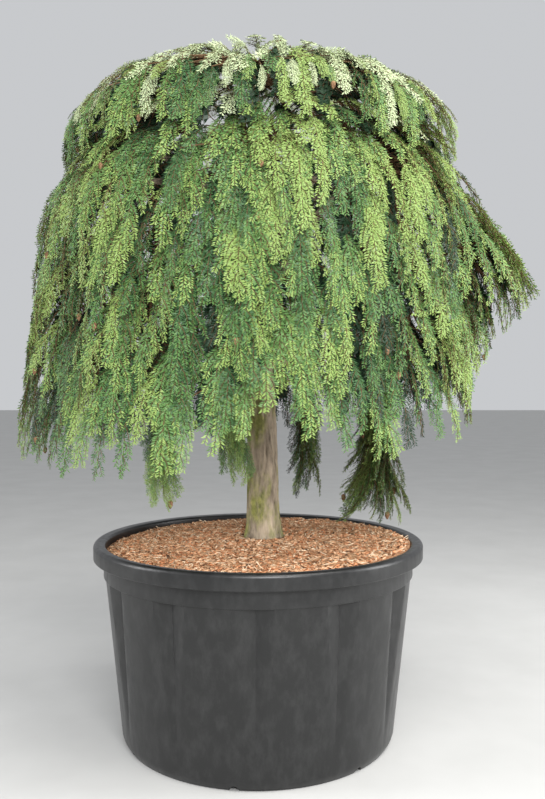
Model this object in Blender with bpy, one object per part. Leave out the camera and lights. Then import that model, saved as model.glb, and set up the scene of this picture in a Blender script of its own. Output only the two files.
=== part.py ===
"""Weeping hemlock standard in a round nursery container.

One stout trunk carries arching boughs under a broad dome, and the foliage hangs from
them all round in curtains that end in a ragged hem. The container is filled with bark
mulch up to its rim. Metres, +Z up. The origin is the centre of the container's flat
underside, and the front of the plant looks along -Y.
"""

import math
import random

import bmesh
import bpy
from mathutils import Matrix, Vector
from mathutils.geometry import intersect_point_line, interpolate_bezier

# Clearance between pieces that touch
GAP = 0.0003

# Container
POT_HEIGHT = 0.535
RIM_RADIUS = 0.474
RIM_WIDTH = 0.034
COLLAR_DROP = 0.042
LIP_THICKNESS = 0.006
BAND_RADIUS = 0.4435
BAND_BOTTOM_Z = 0.444
LEDGE = 0.0055
FOOT_CURVE_Z = 0.030
FOOT_CURVE_RADIUS = 0.385
FOOT_RADIUS = 0.372
POT_WALL = 0.005
POT_FLOOR = 0.006
GROOVE_COUNT = 12
GROOVE_HALF_ANGLE = math.radians(6.3)
GROOVE_END_HALF_ANGLE = math.radians(1.4)
GROOVE_DEPTH = 0.019
GROOVE_END_Z = 0.050
GROOVE_ROOF = 0.002
COLUMNS_PER_GROOVE = 4
DRAIN_COUNT = 7
DRAIN_WIDTH = 0.024
DRAIN_HEIGHT = 0.013
DRAIN_FIRST_AZIMUTH = math.radians(-98.0)

# Mulch
SOIL_EDGE_Z = 0.519
SOIL_EDGE_TILT = 0.010
SOIL_EDGE_HIGH_AZIMUTH = math.radians(-20.0)
SOIL_RELIEF = 0.003
SEAT_RADIUS = 0.090

# Trunk
TRUNK_FOOT_Z = 0.538
TRUNK_TOP_Z = 1.720
TRUNK_FOOT_RADIUS = 0.0475
TRUNK_TOP_RADIUS = 0.014
TRUNK_TAPER_POWER = 1.6
FLARE_GAIN = 0.24
FLARE_FADE = 0.035
ROOT_LOBES = 5
ROOT_LOBE_DEPTH = 0.07
TRUNK_FOOT_X = 0.0125
TRUNK_LEAN = -0.0225
TRUNK_SWAY = 0.006
TRUNK_SIDES = 12
TRUNK_RINGS = 15
END_LEVEL = 0.004

# Boughs
BOUGH_BASE_RADIUS = 0.017
BOUGH_TIP_RADIUS = 0.008
BOUGH_SIDES = 5
BOUGH_RINGS = 6
LOWEST_BOUGH_Z = 1.190
BOUGH_STEP_Z = 0.046
CAP_BOUGH_Z = 1.520

# Crown: a dome over curtains, with one long flare on the right
CROWN_TOP = 1.940
SHOULDER_Z = 1.600
SHOULDER_RADIUS = 0.600
DOME_POWER = 2.6
FOOT_Z = 0.780
BELLY = 1.35
FLARE_REACH = 0.215
FLARE_Z = 1.250
FLARE_HALF_HEIGHT = 0.170
FLARE_HALF_ANGLE = math.radians(32.0)
WINDOW_AZIMUTH = math.radians(-87.0)
WINDOW_HALF_ANGLE = math.radians(8.0)
WINDOW_RISE = 0.140
CURTAIN_DEPTH = 0.215
CAP_FLOOR_Z = 1.800
CAP_FLOOR_SLOPE = 0.360
TUFT_RADIUS = 0.185
MASS_GAP = 0.003
LIMB_GAP = 0.007
PROUD = 0.015
TAIL_ROOM = 0.030
SEAM_WAVE = math.radians(1.3)
SEAM_WAVES_PER_METRE = 9.0

# Name, hem height and crown radius at the foot of each curtain, from the right round
# by the back and the left to the front
CURTAINS = (
    ("right", 0.930, 0.620),
    ("back_right", 0.850, 0.665),
    ("back", 0.800, 0.670),
    ("back_left", 0.790, 0.680),
    ("left", 0.790, 0.690),
    ("front_left", 0.775, 0.680),
    ("front", 0.790, 0.660),
    ("front_right", 0.840, 0.650),
)
CAPS = ("cap_right", "cap_back", "cap_left", "cap_front")

# Inner tails of foliage: name, centre, top, tip, spread above and below, sprays and the
# height at which their bough leaves the trunk
TAILS = (
    ("tail_low_right", (0.350, 0.105), 1.060, 0.556, 0.030, 0.105, 10, 1.100),
    ("tail_low_left", (-0.240, -0.330), 1.060, 0.655, 0.060, 0.035, 6, 1.080),
    ("tail_behind_trunk", (0.135, 0.100), 1.020, 0.630, 0.050, 0.045, 6, 1.010),
    ("tail_before_trunk", (-0.060, -0.150), 1.020, 0.700, 0.045, 0.040, 6, 0.950),
)

# Sprays: a three-sided twig that widens into a toothed blade. Each section gives how far
# it lies along the blade, its half width and its thickness, as shares of the blade's own
SPRAY_SECTIONS = ((0.30, 0.50, 1.00), (0.42, 0.25, 0.90), (0.70, 0.36, 0.75), (1.00, 0.02, 0.20))
SPRAY_LENGTH = 0.205
SPRAY_WIDTH = 0.092
SPRAY_THICKNESS = 0.0060
SPRAY_BOW = 0.10
SPRAY_TWIST = 0.22
ROOT_DEPTH = 0.030
SPRAY_TILT = math.radians(21.0)
TOP_ROW_TILT = math.radians(62.0)
SECOND_ROW_TILT = math.radians(36.0)
TOP_ROW_Z = 1.555
CURTAIN_ROWS = 5
CURTAIN_COLUMNS = 4
CAP_TIP_RADII = (0.345, 0.480, 0.594)
CAP_COLUMNS = (2, 3, 5)
CAP_SPRAY_SHARE = 1.15
TUFT_SPRAYS = 7
TAIL_SPRAY_SHARE = 0.70
TWIG_BASE_RADIUS = 0.0042
TWIG_TIP_RADIUS = 0.0028
TWIG_SIDES = 3
TWIG_DROP = 0.055
STEM_BASE_RADIUS = BOUGH_TIP_RADIUS
STEM_TIP_RADIUS = 0.0030
STEM_SIDES = 5
CORE_DEPTH = 0.118
CORE_HALF_THICKNESS = 0.034
CORE_SPAN = 0.92
CORE_SQUARENESS = 0.50
CORE_TOP_Z = 1.600
CORE_ABOVE_HEM = 0.150
CORE_JITTER = 0.008
CORE_SEGMENTS = 8
CORE_RINGS = 5
SEED = 41

GOLDEN_ANGLE = math.pi * (3.0 - math.sqrt(5.0))
UP = Vector((0.0, 0.0, 1.0))


def polar(radius, azimuth, z):
    """The point at a radius, an azimuth from +X and a height."""
    return Vector((radius * math.cos(azimuth), radius * math.sin(azimuth), z))


def mix(a, b, t):
    """The value a share t of the way from a to b."""
    return a + (b - a) * t


def turn_between(azimuth, other):
    """The signed smallest turn from one azimuth to another."""
    return (azimuth - other + math.pi) % (2.0 * math.pi) - math.pi


# Objects and materials


def clear_scene():
    """Remove every object of the open scene."""
    for item in list(bpy.data.objects):
        bpy.data.objects.remove(item, do_unlink=True)


def make_material(name, colour, roughness, metallic=0.0):
    """A plain Principled material."""
    material = bpy.data.materials.new(name)
    material.use_nodes = True
    shader = material.node_tree.nodes["Principled BSDF"]
    shader.inputs["Base Color"].default_value = (*colour, 1.0)
    shader.inputs["Roughness"].default_value = roughness
    shader.inputs["Metallic"].default_value = metallic
    material.diffuse_color = (*colour, 1.0)
    return material


def mesh_object(name, bm, material=None, smooth_angle=None):
    """Turn a bmesh into an object with outward faces."""
    bmesh.ops.recalc_face_normals(bm, faces=bm.faces)
    if bm.calc_volume(signed=True) < 0.0:
        bmesh.ops.reverse_faces(bm, faces=bm.faces)
    mesh = bpy.data.meshes.new(name)
    bm.to_mesh(mesh)
    bm.free()
    if smooth_angle is not None:
        mesh.shade_smooth()
        mesh.set_sharp_from_angle(angle=smooth_angle)
    if material is not None:
        mesh.materials.append(material)
    item = bpy.data.objects.new(name, mesh)
    bpy.context.scene.collection.objects.link(item)
    return item


def union_piece(name, bm, collection):
    """One operand of a union: flat triangles, in a collection of its own."""
    bmesh.ops.triangulate(bm, faces=bm.faces)
    item = mesh_object(name, bm)
    bpy.context.scene.collection.objects.unlink(item)
    collection.objects.link(item)
    return item


# Limbs


def frames_along(points, first=None):
    """A frame at each point of a curve, Z along it, carried on without twist."""
    count = len(points)
    tangents = []
    for i in range(count):
        ahead = points[min(i + 1, count - 1)] - points[max(i - 1, 0)]
        tangents.append(ahead.normalized())
    if first is not None:
        tangents[0] = first
    turn = tangents[0].to_track_quat("Z", "Y")
    frames = [Matrix.Translation(points[0]) @ turn.to_matrix().to_4x4()]
    for i in range(1, count):
        turn = tangents[i - 1].rotation_difference(tangents[i]) @ turn
        frames.append(Matrix.Translation(points[i]) @ turn.to_matrix().to_4x4())
    return frames


def add_loft(bm, frames, sizes, sides):
    """Extrude a polygon from frame to frame, scaled to each section's two sizes."""

    def section(i):
        return frames[i] @ Matrix.Diagonal((sizes[i][0], sizes[i][1], 1.0, 1.0))

    ring = bmesh.ops.create_circle(
        bm, cap_ends=True, segments=sides, radius=1.0, matrix=section(0)
    )
    face = ring["verts"][0].link_faces[0]
    grown = bmesh.ops.extrude_face_region(bm, geom=[face])["geom"]
    face = [part for part in grown if isinstance(part, bmesh.types.BMFace)][0]
    for i in range(1, len(frames)):
        if i > 1:
            face = bmesh.ops.extrude_discrete_faces(bm, faces=[face])["faces"][0]
        step = section(i) @ section(i - 1).inverted()
        bmesh.ops.transform(bm, matrix=step, verts=face.verts)


def add_limb(bm, points, radii, sides, first=None):
    """One tapering limb along a curve, whose first section may face a given way."""
    add_loft(bm, frames_along(points, first), [(r, r) for r in radii], sides)


def trunk_centre(z):
    """The middle of the trunk at a height."""
    t = (z - TRUNK_FOOT_Z) / (TRUNK_TOP_Z - TRUNK_FOOT_Z)
    sway = TRUNK_SWAY * math.sin(math.pi * 2.0 * t)
    return Vector((TRUNK_FOOT_X + TRUNK_LEAN * t + 0.5 * sway, sway, z))


def trunk_radius(z):
    """The trunk's radius at a height, with the flare over its roots."""
    height = max(z - TRUNK_FOOT_Z, 0.0)
    t = height / (TRUNK_TOP_Z - TRUNK_FOOT_Z)
    body = mix(TRUNK_FOOT_RADIUS, TRUNK_TOP_RADIUS, t**TRUNK_TAPER_POWER)
    return body * (1.0 + FLARE_GAIN * math.exp(-height / FLARE_FADE))


def trunk_mesh(extra):
    """The trunk's closed surface, moved out by a clearance."""
    bm = bmesh.new()
    points = []
    for i in range(TRUNK_RINGS):
        t = i / (TRUNK_RINGS - 1)
        points.append(trunk_centre(mix(TRUNK_FOOT_Z, TRUNK_TOP_Z, t**1.5)))
    radii = [trunk_radius(p.z) + extra for p in points]
    add_limb(bm, points, radii, TRUNK_SIDES)
    for vert in bm.verts:
        centre = trunk_centre(vert.co.z)
        out = vert.co - centre
        azimuth = math.atan2(out.y, out.x)
        fade = math.exp(-max(vert.co.z - TRUNK_FOOT_Z, 0.0) / (2.0 * FLARE_FADE))
        lobe = 1.0 + ROOT_LOBE_DEPTH * fade * math.cos(ROOT_LOBES * azimuth)
        vert.co = Vector((centre.x + out.x * lobe, centre.y + out.y * lobe, vert.co.z))
    for vert in bm.verts:
        if vert.co.z < TRUNK_FOOT_Z + END_LEVEL:
            vert.co.z = TRUNK_FOOT_Z
        if vert.co.z > TRUNK_TOP_Z - END_LEVEL:
            vert.co.z = TRUNK_TOP_Z
    return bm


def bough_points(azimuth, leave_z, tip):
    """A bough's arch, from the trunk's middle to its tip."""
    start = trunk_centre(leave_z)
    reach = (tip - start).xy.length
    out = Vector((math.cos(azimuth), math.sin(azimuth), 0.0))
    rise = 0.75 * max(tip.z - leave_z, 0.0)
    first = start + out * (0.40 * reach) + UP * rise
    second = tip - out * (0.38 * reach) + UP * 0.015
    return interpolate_bezier(start, first, second, tip, BOUGH_RINGS)


# The crown's own surface


def ring_value(azimuth, values):
    """A value that turns smoothly from one curtain's to the next one's."""
    place = (azimuth / (2.0 * math.pi)) % 1.0 * len(values)
    before = int(place) % len(values)
    share = 0.5 - 0.5 * math.cos(math.pi * (place - int(place)))
    return mix(values[before], values[(before + 1) % len(values)], share)


def hem_height(azimuth):
    """How low the foliage hangs, with the window before the trunk."""
    hem = ring_value(azimuth, [row[1] for row in CURTAINS])
    off = turn_between(azimuth, WINDOW_AZIMUTH) / WINDOW_HALF_ANGLE
    return hem + WINDOW_RISE * math.exp(-off * off)


def crown_radius(azimuth, z):
    """The crown's outer radius at an azimuth and a height."""
    if z >= SHOULDER_Z:
        t = min((z - SHOULDER_Z) / (CROWN_TOP - SHOULDER_Z), 1.0)
        radius = SHOULDER_RADIUS * (1.0 - t**DOME_POWER) ** (1.0 / DOME_POWER)
    else:
        foot = ring_value(azimuth, [row[2] for row in CURTAINS])
        share = (SHOULDER_Z - z) / (SHOULDER_Z - FOOT_Z)
        radius = mix(SHOULDER_RADIUS, foot, share * (1.0 + BELLY - BELLY * share))
    up = (z - FLARE_Z) / FLARE_HALF_HEIGHT
    turn = turn_between(azimuth, 0.0) / FLARE_HALF_ANGLE
    return radius + FLARE_REACH * math.exp(-up * up) * math.exp(-turn * turn)


def dome_height(radius):
    """The height of the dome over a radius."""
    t = min(radius / SHOULDER_RADIUS, 1.0)
    rise = (1.0 - t**DOME_POWER) ** (1.0 / DOME_POWER)
    return SHOULDER_Z + (CROWN_TOP - SHOULDER_Z) * rise


def cap_floor(radius):
    """The height at which the caps end and the curtains begin."""
    return CAP_FLOOR_Z - CAP_FLOOR_SLOPE * radius


class Sector:
    """A wedge of the crown between two seams that wave with height."""

    spray_share = 1.0

    def __init__(self, index, count):
        self.index = index
        self.half = math.pi / count
        self.middle = 2.0 * self.half * index

    def pulled_in(self, point):
        """The point, moved in to the crown's surface where it lies outside."""
        azimuth = math.atan2(point.y, point.x)
        limit = crown_radius(azimuth, point.z)
        if point.xy.length > limit:
            return polar(limit, azimuth, point.z)
        return point

    def middle_at(self, z):
        """The azimuth of the sector's middle at a height."""
        return self.middle + SEAM_WAVE * math.sin(SEAM_WAVES_PER_METRE * z)

    def inside_seams(self, point, margin):
        off = turn_between(math.atan2(point.y, point.x), self.middle_at(point.z))
        radius = max(point.xy.length, 0.01)
        return abs(off) < self.half - margin / radius


class Curtain(Sector):
    """Foliage that hangs from the shoulder to the hem in one sector."""

    def __init__(self, index):
        super().__init__(index, len(CURTAINS))
        self.name = "foliage_" + CURTAINS[index][0]
        self.tip = polar(SHOULDER_RADIUS - CURTAIN_DEPTH + 0.005, self.middle, 1.600)

    def bough(self):
        order = (5 * self.index) % len(CURTAINS)
        return bough_points(self.middle, LOWEST_BOUGH_Z + order * BOUGH_STEP_Z, self.tip)

    def contains(self, point, margin):
        radius = point.xy.length
        azimuth = math.atan2(point.y, point.x)
        outer = crown_radius(azimuth, point.z)
        return (
            self.inside_seams(point, margin)
            and outer - CURTAIN_DEPTH + margin < radius < outer + PROUD
            and hem_height(azimuth) - 0.012 < point.z < cap_floor(radius) - margin
        )

    def stem(self):
        """Out of the bough's tip, over the shoulder and down behind the surface."""
        turn_z = 1.440
        turn = polar(crown_radius(self.middle, turn_z) - CORE_DEPTH, self.middle, turn_z)
        out = polar(1.0, self.middle, 0.0)
        ahead = self.tip + out * 0.09 + UP * 0.01
        points = list(interpolate_bezier(self.tip, ahead, turn + UP * 0.11, turn, 5))
        low = hem_height(self.middle) + 0.11
        for i in range(1, 4):
            z = mix(turn_z, low, i / 3)
            points.append(polar(crown_radius(self.middle, z) - CORE_DEPTH, self.middle, z))
        return points

    def core_point(self, across, through, up):
        low = hem_height(self.middle + across * self.half) + CORE_ABOVE_HEM
        z = mix(low, CORE_TOP_Z, 0.5 + 0.5 * up)
        azimuth = self.middle_at(z) + across * CORE_SPAN * self.half
        radius = crown_radius(azimuth, z) - CORE_DEPTH + through * CORE_HALF_THICKNESS
        return polar(radius, azimuth, z)

    def sprays(self, rng):
        """Root and tip of each hanging spray, in staggered rows like shingles."""
        tilts = {0: TOP_ROW_TILT, 1: SECOND_ROW_TILT}
        for row in range(CURTAIN_ROWS):
            tilt = tilts.get(row, SPRAY_TILT)
            for column in range(CURTAIN_COLUMNS):
                share = column / (CURTAIN_COLUMNS - 1) * 2.0 - 1.0
                if abs(share) < 1.0:
                    share += (0.5 - row % 2) / CURTAIN_COLUMNS + rng.uniform(-0.1, 0.1)
                drop = row / (CURTAIN_ROWS - 1)
                tooth = SHOULDER_RADIUS - 0.7 * SPRAY_LENGTH * math.sin(tilt)
                seam = self.half - (0.53 * SPRAY_WIDTH + 2.0 * MASS_GAP) / tooth
                z = mix(TOP_ROW_Z, hem_height(self.middle + share * seam), drop)
                z += rng.uniform(0.0, 0.02)
                azimuth = self.middle_at(z) + share * seam
                radius = crown_radius(azimuth, z) - rng.uniform(0.0, 0.015)
                length = SPRAY_LENGTH * rng.uniform(0.90, 1.10)
                root_z = z + length * math.cos(tilt)
                root_radius = radius - length * math.sin(tilt)
                root_radius = min(root_radius, crown_radius(azimuth, root_z) - ROOT_DEPTH)
                yield polar(root_radius, azimuth, root_z), polar(radius, azimuth, z)


class Cap(Sector):
    """A quarter of the dome outside its middle tuft."""

    spray_share = CAP_SPRAY_SHARE

    def __init__(self, index):
        super().__init__(index, len(CAPS))
        self.name = "foliage_" + CAPS[index]
        self.lean = self.half * 0.5
        self.tip = polar(0.205, self.middle + self.lean, 1.700)

    def pulled_in(self, point):
        radius = point.xy.length
        limit = dome_height(min(radius, SHOULDER_RADIUS - 0.004))
        return Vector((point.x, point.y, min(point.z, limit)))

    def bough(self):
        leave_z = CAP_BOUGH_Z + 0.028 * (self.index % 2)
        return bough_points(self.middle + self.lean, leave_z, self.tip)

    def contains(self, point, margin):
        radius = point.xy.length
        return (
            self.inside_seams(point, margin)
            and TUFT_RADIUS + margin < radius < SHOULDER_RADIUS + 0.012
            and cap_floor(radius) + margin < point.z
            and point.z < dome_height(max(radius - 0.02, 0.0)) + 0.012
        )

    def stem(self):
        end_radius = 0.440
        end = polar(end_radius, self.middle, dome_height(end_radius) - 0.075)
        first = self.tip + polar(0.07, self.middle + self.lean, 0.05)
        second = end - polar(0.12, self.middle, -0.035)
        return list(interpolate_bezier(self.tip, first, second, end, 5))

    def core_point(self, across, through, up):
        radius = mix(0.225, 0.530, 0.5 + 0.5 * up)
        z = dome_height(radius) - 0.070 + through * 0.028
        azimuth = self.middle_at(z) + across * CORE_SPAN * self.half
        return polar(radius, azimuth, z)

    def sprays(self, rng):
        """Root and tip of each spray, laid outward over the dome like thatch."""
        for tip_radius, columns in zip(CAP_TIP_RADII, CAP_COLUMNS):
            for column in range(columns):
                share = column / (columns - 1) * 2.0 - 1.0
                if abs(share) < 1.0:
                    share += rng.uniform(-0.08, 0.08)
                tooth = tip_radius - 0.56 * SPRAY_LENGTH
                half_width = 0.53 * CAP_SPRAY_SHARE * SPRAY_WIDTH + 2.0 * MASS_GAP
                seam = self.half - half_width / tooth
                radius = tip_radius - rng.uniform(0.0, 0.012)
                azimuth = self.middle_at(dome_height(radius)) + share * seam
                tip = polar(radius, azimuth, dome_height(radius) - 0.004)
                root_radius = max(radius - 0.80 * SPRAY_LENGTH, TUFT_RADIUS + 0.016)
                root_z = dome_height(root_radius) - 0.026
                yield polar(root_radius, azimuth, root_z), tip


class Tuft:
    """The middle of the dome, over the trunk's tip."""

    spray_share = 0.80

    def __init__(self):
        self.name = "foliage_top"
        self.tip = trunk_centre(TRUNK_TOP_Z)
        self.facing = UP

    def contains(self, point, margin):
        radius = point.xy.length
        return (
            radius < TUFT_RADIUS - margin
            and cap_floor(radius) + margin < point.z < CROWN_TOP + 0.004
        )

    def stem(self):
        end = Vector((-0.020, 0.010, CROWN_TOP - 0.085))
        return list(interpolate_bezier(self.tip, self.tip + UP * 0.05, end - UP * 0.05, end, 4))

    def pulled_in(self, point):
        return Vector((point.x, point.y, min(point.z, CROWN_TOP - 0.006)))

    def core_point(self, across, through, up):
        return Vector((0.140 * across, 0.140 * through, CROWN_TOP - 0.080 + 0.036 * up))

    def sprays(self, rng):
        """Root and tip of each spray, fanned round the middle."""
        for i in range(TUFT_SPRAYS):
            azimuth = i * GOLDEN_ANGLE + rng.uniform(-0.2, 0.2)
            radius = mix(0.120, TUFT_RADIUS - 0.012, i / (TUFT_SPRAYS - 1))
            tip = polar(radius, azimuth, dome_height(radius) - 0.004 - 0.02 * (i % 2))
            yield polar(0.025, azimuth, CROWN_TOP - 0.035 - 0.008 * (i % 3)), tip


class Tail:
    """A loose tail of foliage that hangs inside the curtains."""

    spray_share = TAIL_SPRAY_SHARE

    def __init__(self, index):
        name, centre, top, low, spread_above, spread_below, count, leave_z = TAILS[index]
        self.name = "foliage_" + name
        self.centre = Vector((*centre, 0.0))
        self.top = top
        self.low = low
        self.spreads = (spread_above, spread_below)
        self.count = count
        self.leave_z = leave_z
        start = trunk_centre(leave_z)
        out = (self.centre - start).xy
        self.azimuth = math.atan2(out.y, out.x)
        back = min(0.06, 0.45 * out.length)
        self.tip = self.centre - polar(back, self.azimuth, 0.0) + UP * (top + 0.03)

    def bough(self):
        return bough_points(self.azimuth, self.leave_z, self.tip)

    def contains(self, point, margin):
        off = (point - self.centre).xy.length
        azimuth = math.atan2(point.y, point.x)
        inner = crown_radius(azimuth, point.z) - CURTAIN_DEPTH
        under = point.z < hem_height(azimuth) - 0.02
        share = (self.top - point.z) / (self.top - self.low)
        return (
            off < mix(*self.spreads, max(0.0, min(1.0, share))) + TAIL_ROOM
            and (under or point.xy.length < inner - margin)
            and self.low - 0.002 < point.z < self.top + 0.06
        )

    def stem(self):
        low = self.centre + UP * (self.low + 0.11)
        ahead = self.tip + polar(0.035, self.azimuth, 0.006)
        above = self.centre + UP * mix(self.top, self.low, 0.25)
        return list(interpolate_bezier(self.tip, ahead, above, low, 8))

    def pulled_in(self, point):
        return point

    def core_point(self, across, through, up):
        return None

    def sprays(self, rng):
        """Root and tip of each spray, spiralling down round the stem."""
        for i in range(self.count):
            t = i / (self.count - 1)
            turn = i * GOLDEN_ANGLE + rng.uniform(-0.3, 0.3)
            length = TAIL_SPRAY_SHARE * SPRAY_LENGTH * rng.uniform(0.9, 1.1)
            z = mix(self.top - 0.11, self.low, t)
            spread = mix(*self.spreads, t) * rng.uniform(0.7, 1.0)
            tip = self.centre + polar(spread, turn, z)
            root = self.centre + polar(0.30 * spread, turn, z + 0.93 * length)
            yield root, tip


# Sprays, twigs and masses


def spray_frames(mass, fork, root, tip, side):
    """Frames from the fork on the stem, along the twig and out to the blade's tip."""
    along = tip - root
    normal = along.cross(side).normalized()
    if normal.dot(Vector((root.x, root.y, 0.4))) < 0.0:
        normal = -normal
    points = [fork, root]
    for t, _, _ in SPRAY_SECTIONS:
        place = root + along * t + normal * (SPRAY_BOW * along.length * 4.0 * t * (1.0 - t))
        points.append(mass.pulled_in(place))
    frames = []
    for i, place in enumerate(points):
        ahead = points[min(i + 1, len(points) - 1)] - points[max(i - 1, 0)]
        z_axis = ahead.normalized()
        x_axis = (side - z_axis * side.dot(z_axis)).normalized()
        y_axis = z_axis.cross(x_axis)
        turn = Matrix((x_axis, y_axis, z_axis)).transposed().to_4x4()
        frames.append(Matrix.Translation(place) @ turn)
    return frames


def spray_sizes(width):
    """The two sizes of each section of a spray, twig first."""
    corner = math.cos(math.radians(30.0))
    sizes = [(r, r) for r in (TWIG_BASE_RADIUS, TWIG_TIP_RADIUS)]
    for _, half, thick in SPRAY_SECTIONS:
        sizes.append((half * width / corner, thick * SPRAY_THICKNESS / 1.5))
    return sizes


def section_corners(frame, size):
    """The three corners of a section in space."""
    corner = math.cos(math.radians(30.0))
    flat = ((0.0, 1.0), (corner, -0.5), (-corner, -0.5))
    return [frame @ Vector((x * size[0], y * size[1], 0.0)) for x, y in flat]


def nearest_on(points, target):
    """The point of a polyline that lies nearest to a target."""
    best = None
    for a, b in zip(points, points[1:]):
        place, share = intersect_point_line(target, a, b)
        place = a + (b - a) * max(0.0, min(1.0, share))
        if best is None or (place - target).length < (best - target).length:
            best = place
    return best


class Limbs:
    """The middle lines of the trunk and the boughs, to keep foliage clear of them."""

    def __init__(self):
        self.runs = []

    def add(self, points, radii):
        for i in range(len(points) - 1):
            self.runs.append((points[i], points[i + 1], max(radii[i], radii[i + 1])))

    def clear(self, point):
        for a, b, radius in self.runs:
            place, share = intersect_point_line(point, a, b)
            place = a + (b - a) * max(0.0, min(1.0, share))
            if (place - point).length < radius + LIMB_GAP:
                return False
        return True


def spray_fits(mass, limbs, points):
    """Whether every point keeps to the mass's space and off the limbs."""
    return all(mass.contains(p, MASS_GAP) and limbs.clear(p) for p in points)


def add_core(bm, mass, rng):
    """The dense heart of a mass: a ball drawn over the mass's own shape."""
    bmesh.ops.create_uvsphere(bm, u_segments=CORE_SEGMENTS, v_segments=CORE_RINGS, radius=1.0)
    for vert in bm.verts:
        ring = max(math.hypot(vert.co.x, vert.co.y), 0.1)
        square = ring ** (CORE_SQUARENESS - 1.0)
        place = mass.core_point(vert.co.x * square, vert.co.y * square, vert.co.z)
        shake = Vector([rng.uniform(-CORE_JITTER, CORE_JITTER) for _ in range(3)])
        vert.co = place + shake


def make_mass(mass, limbs, material, seed):
    """One closed mass: core, stem, twigs and sprays in one union."""
    rng = random.Random(seed)
    helpers = bpy.data.collections.new(mass.name + "_pieces")
    bpy.context.scene.collection.children.link(helpers)
    stem = mass.stem()
    stem[0] = stem[0] + mass.facing * GAP
    radii = [mix(STEM_BASE_RADIUS, STEM_TIP_RADIUS, i / (len(stem) - 1)) for i in range(len(stem))]
    base = bmesh.new()
    add_limb(base, stem, radii, STEM_SIDES, mass.facing)
    bmesh.ops.triangulate(base, faces=base.faces)
    result = mesh_object(mass.name, base, material)
    if mass.core_point(0.0, 0.0, 0.0) is not None:
        heart = bmesh.new()
        add_core(heart, mass, rng)
        union_piece("core", heart, helpers)
    for root, tip in mass.sprays(rng):
        along = tip - root
        out = Vector((root.x + tip.x, root.y + tip.y, 0.0))
        side = along.cross(out).normalized()
        side.rotate(Matrix.Rotation(rng.uniform(-SPRAY_TWIST, SPRAY_TWIST), 3, along.normalized()))
        width = mass.spray_share * SPRAY_WIDTH * rng.uniform(0.92, 1.06)
        fork = nearest_on(stem[1:], root + UP * TWIG_DROP)
        frames = spray_frames(mass, fork, root, tip, side)
        sizes = spray_sizes(width)
        corners = [p for pair in zip(frames[1:], sizes[1:]) for p in section_corners(*pair)]
        if not spray_fits(mass, limbs, corners):
            continue
        piece = bmesh.new()
        add_loft(piece, frames, sizes, TWIG_SIDES)
        union_piece("spray", piece, helpers)
    join_collection(result, helpers)


def join_collection(result, helpers):
    """Unite an object with a collection, apply it and drop the collection."""
    union = result.modifiers.new("Union", "BOOLEAN")
    union.operation = "UNION"
    union.operand_type = "COLLECTION"
    union.collection = helpers
    union.solver = "MANIFOLD"
    graph = bpy.context.evaluated_depsgraph_get()
    joined = bpy.data.meshes.new_from_object(result.evaluated_get(graph))
    result.modifiers.remove(union)
    old = result.data
    materials = list(old.materials)
    result.data = joined
    bpy.data.meshes.remove(old)
    keep_largest_shell(joined)
    joined.materials.clear()
    for material in materials:
        joined.materials.append(material)
    for item in list(helpers.objects):
        mesh = item.data
        bpy.data.objects.remove(item, do_unlink=True)
        bpy.data.meshes.remove(mesh)
    bpy.data.collections.remove(helpers)


def keep_largest_shell(mesh):
    """Fill the hollows that fusing sealed and drop the scraps that it left loose."""
    bm = bmesh.new()
    bm.from_mesh(mesh)
    bmesh.ops.remove_doubles(bm, verts=bm.verts, dist=1e-6)
    unseen = set(bm.faces)
    shells = []
    while unseen:
        shell = []
        edge_of_shell = [unseen.pop()]
        while edge_of_shell:
            face = edge_of_shell.pop()
            shell.append(face)
            for edge in face.edges:
                for other in edge.link_faces:
                    if other in unseen:
                        unseen.remove(other)
                        edge_of_shell.append(other)
        shells.append(shell)
    largest = max(shells, key=len)
    for shell in shells:
        if shell is not largest:
            bmesh.ops.delete(bm, geom=shell, context="FACES")
    for face in bm.faces:
        face.material_index = 0
        face.smooth = False
    cut = bm.copy()
    bmesh.ops.triangulate(cut, faces=cut.faces)
    if any(len(edge.link_faces) != 2 for edge in cut.edges):
        cut.free()
        cut = bm.copy()
        bmesh.ops.triangulate(cut, faces=cut.faces, quad_method="FIXED", ngon_method="EAR_CLIP")
    cut.to_mesh(mesh)
    cut.free()
    bm.free()


# Container and mulch


def wall_radius(z):
    """The container's outer radius below its ledge."""
    if z < FOOT_CURVE_Z:
        t = 1.0 - z / FOOT_CURVE_Z
        return FOOT_CURVE_RADIUS - (FOOT_CURVE_RADIUS - FOOT_RADIUS) * t * t
    share = (z - FOOT_CURVE_Z) / (BAND_BOTTOM_Z - FOOT_CURVE_Z)
    return mix(FOOT_CURVE_RADIUS, BAND_RADIUS - LEDGE, share)


def groove_share(z):
    """How much of a groove's full width and depth is left at a height."""
    top = BAND_BOTTOM_Z - 2.0 * GROOVE_ROOF
    if z > top + 1e-6:
        return 0.0
    return max(0.0, (z - GROOVE_END_Z) / (top - GROOVE_END_Z))


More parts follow.
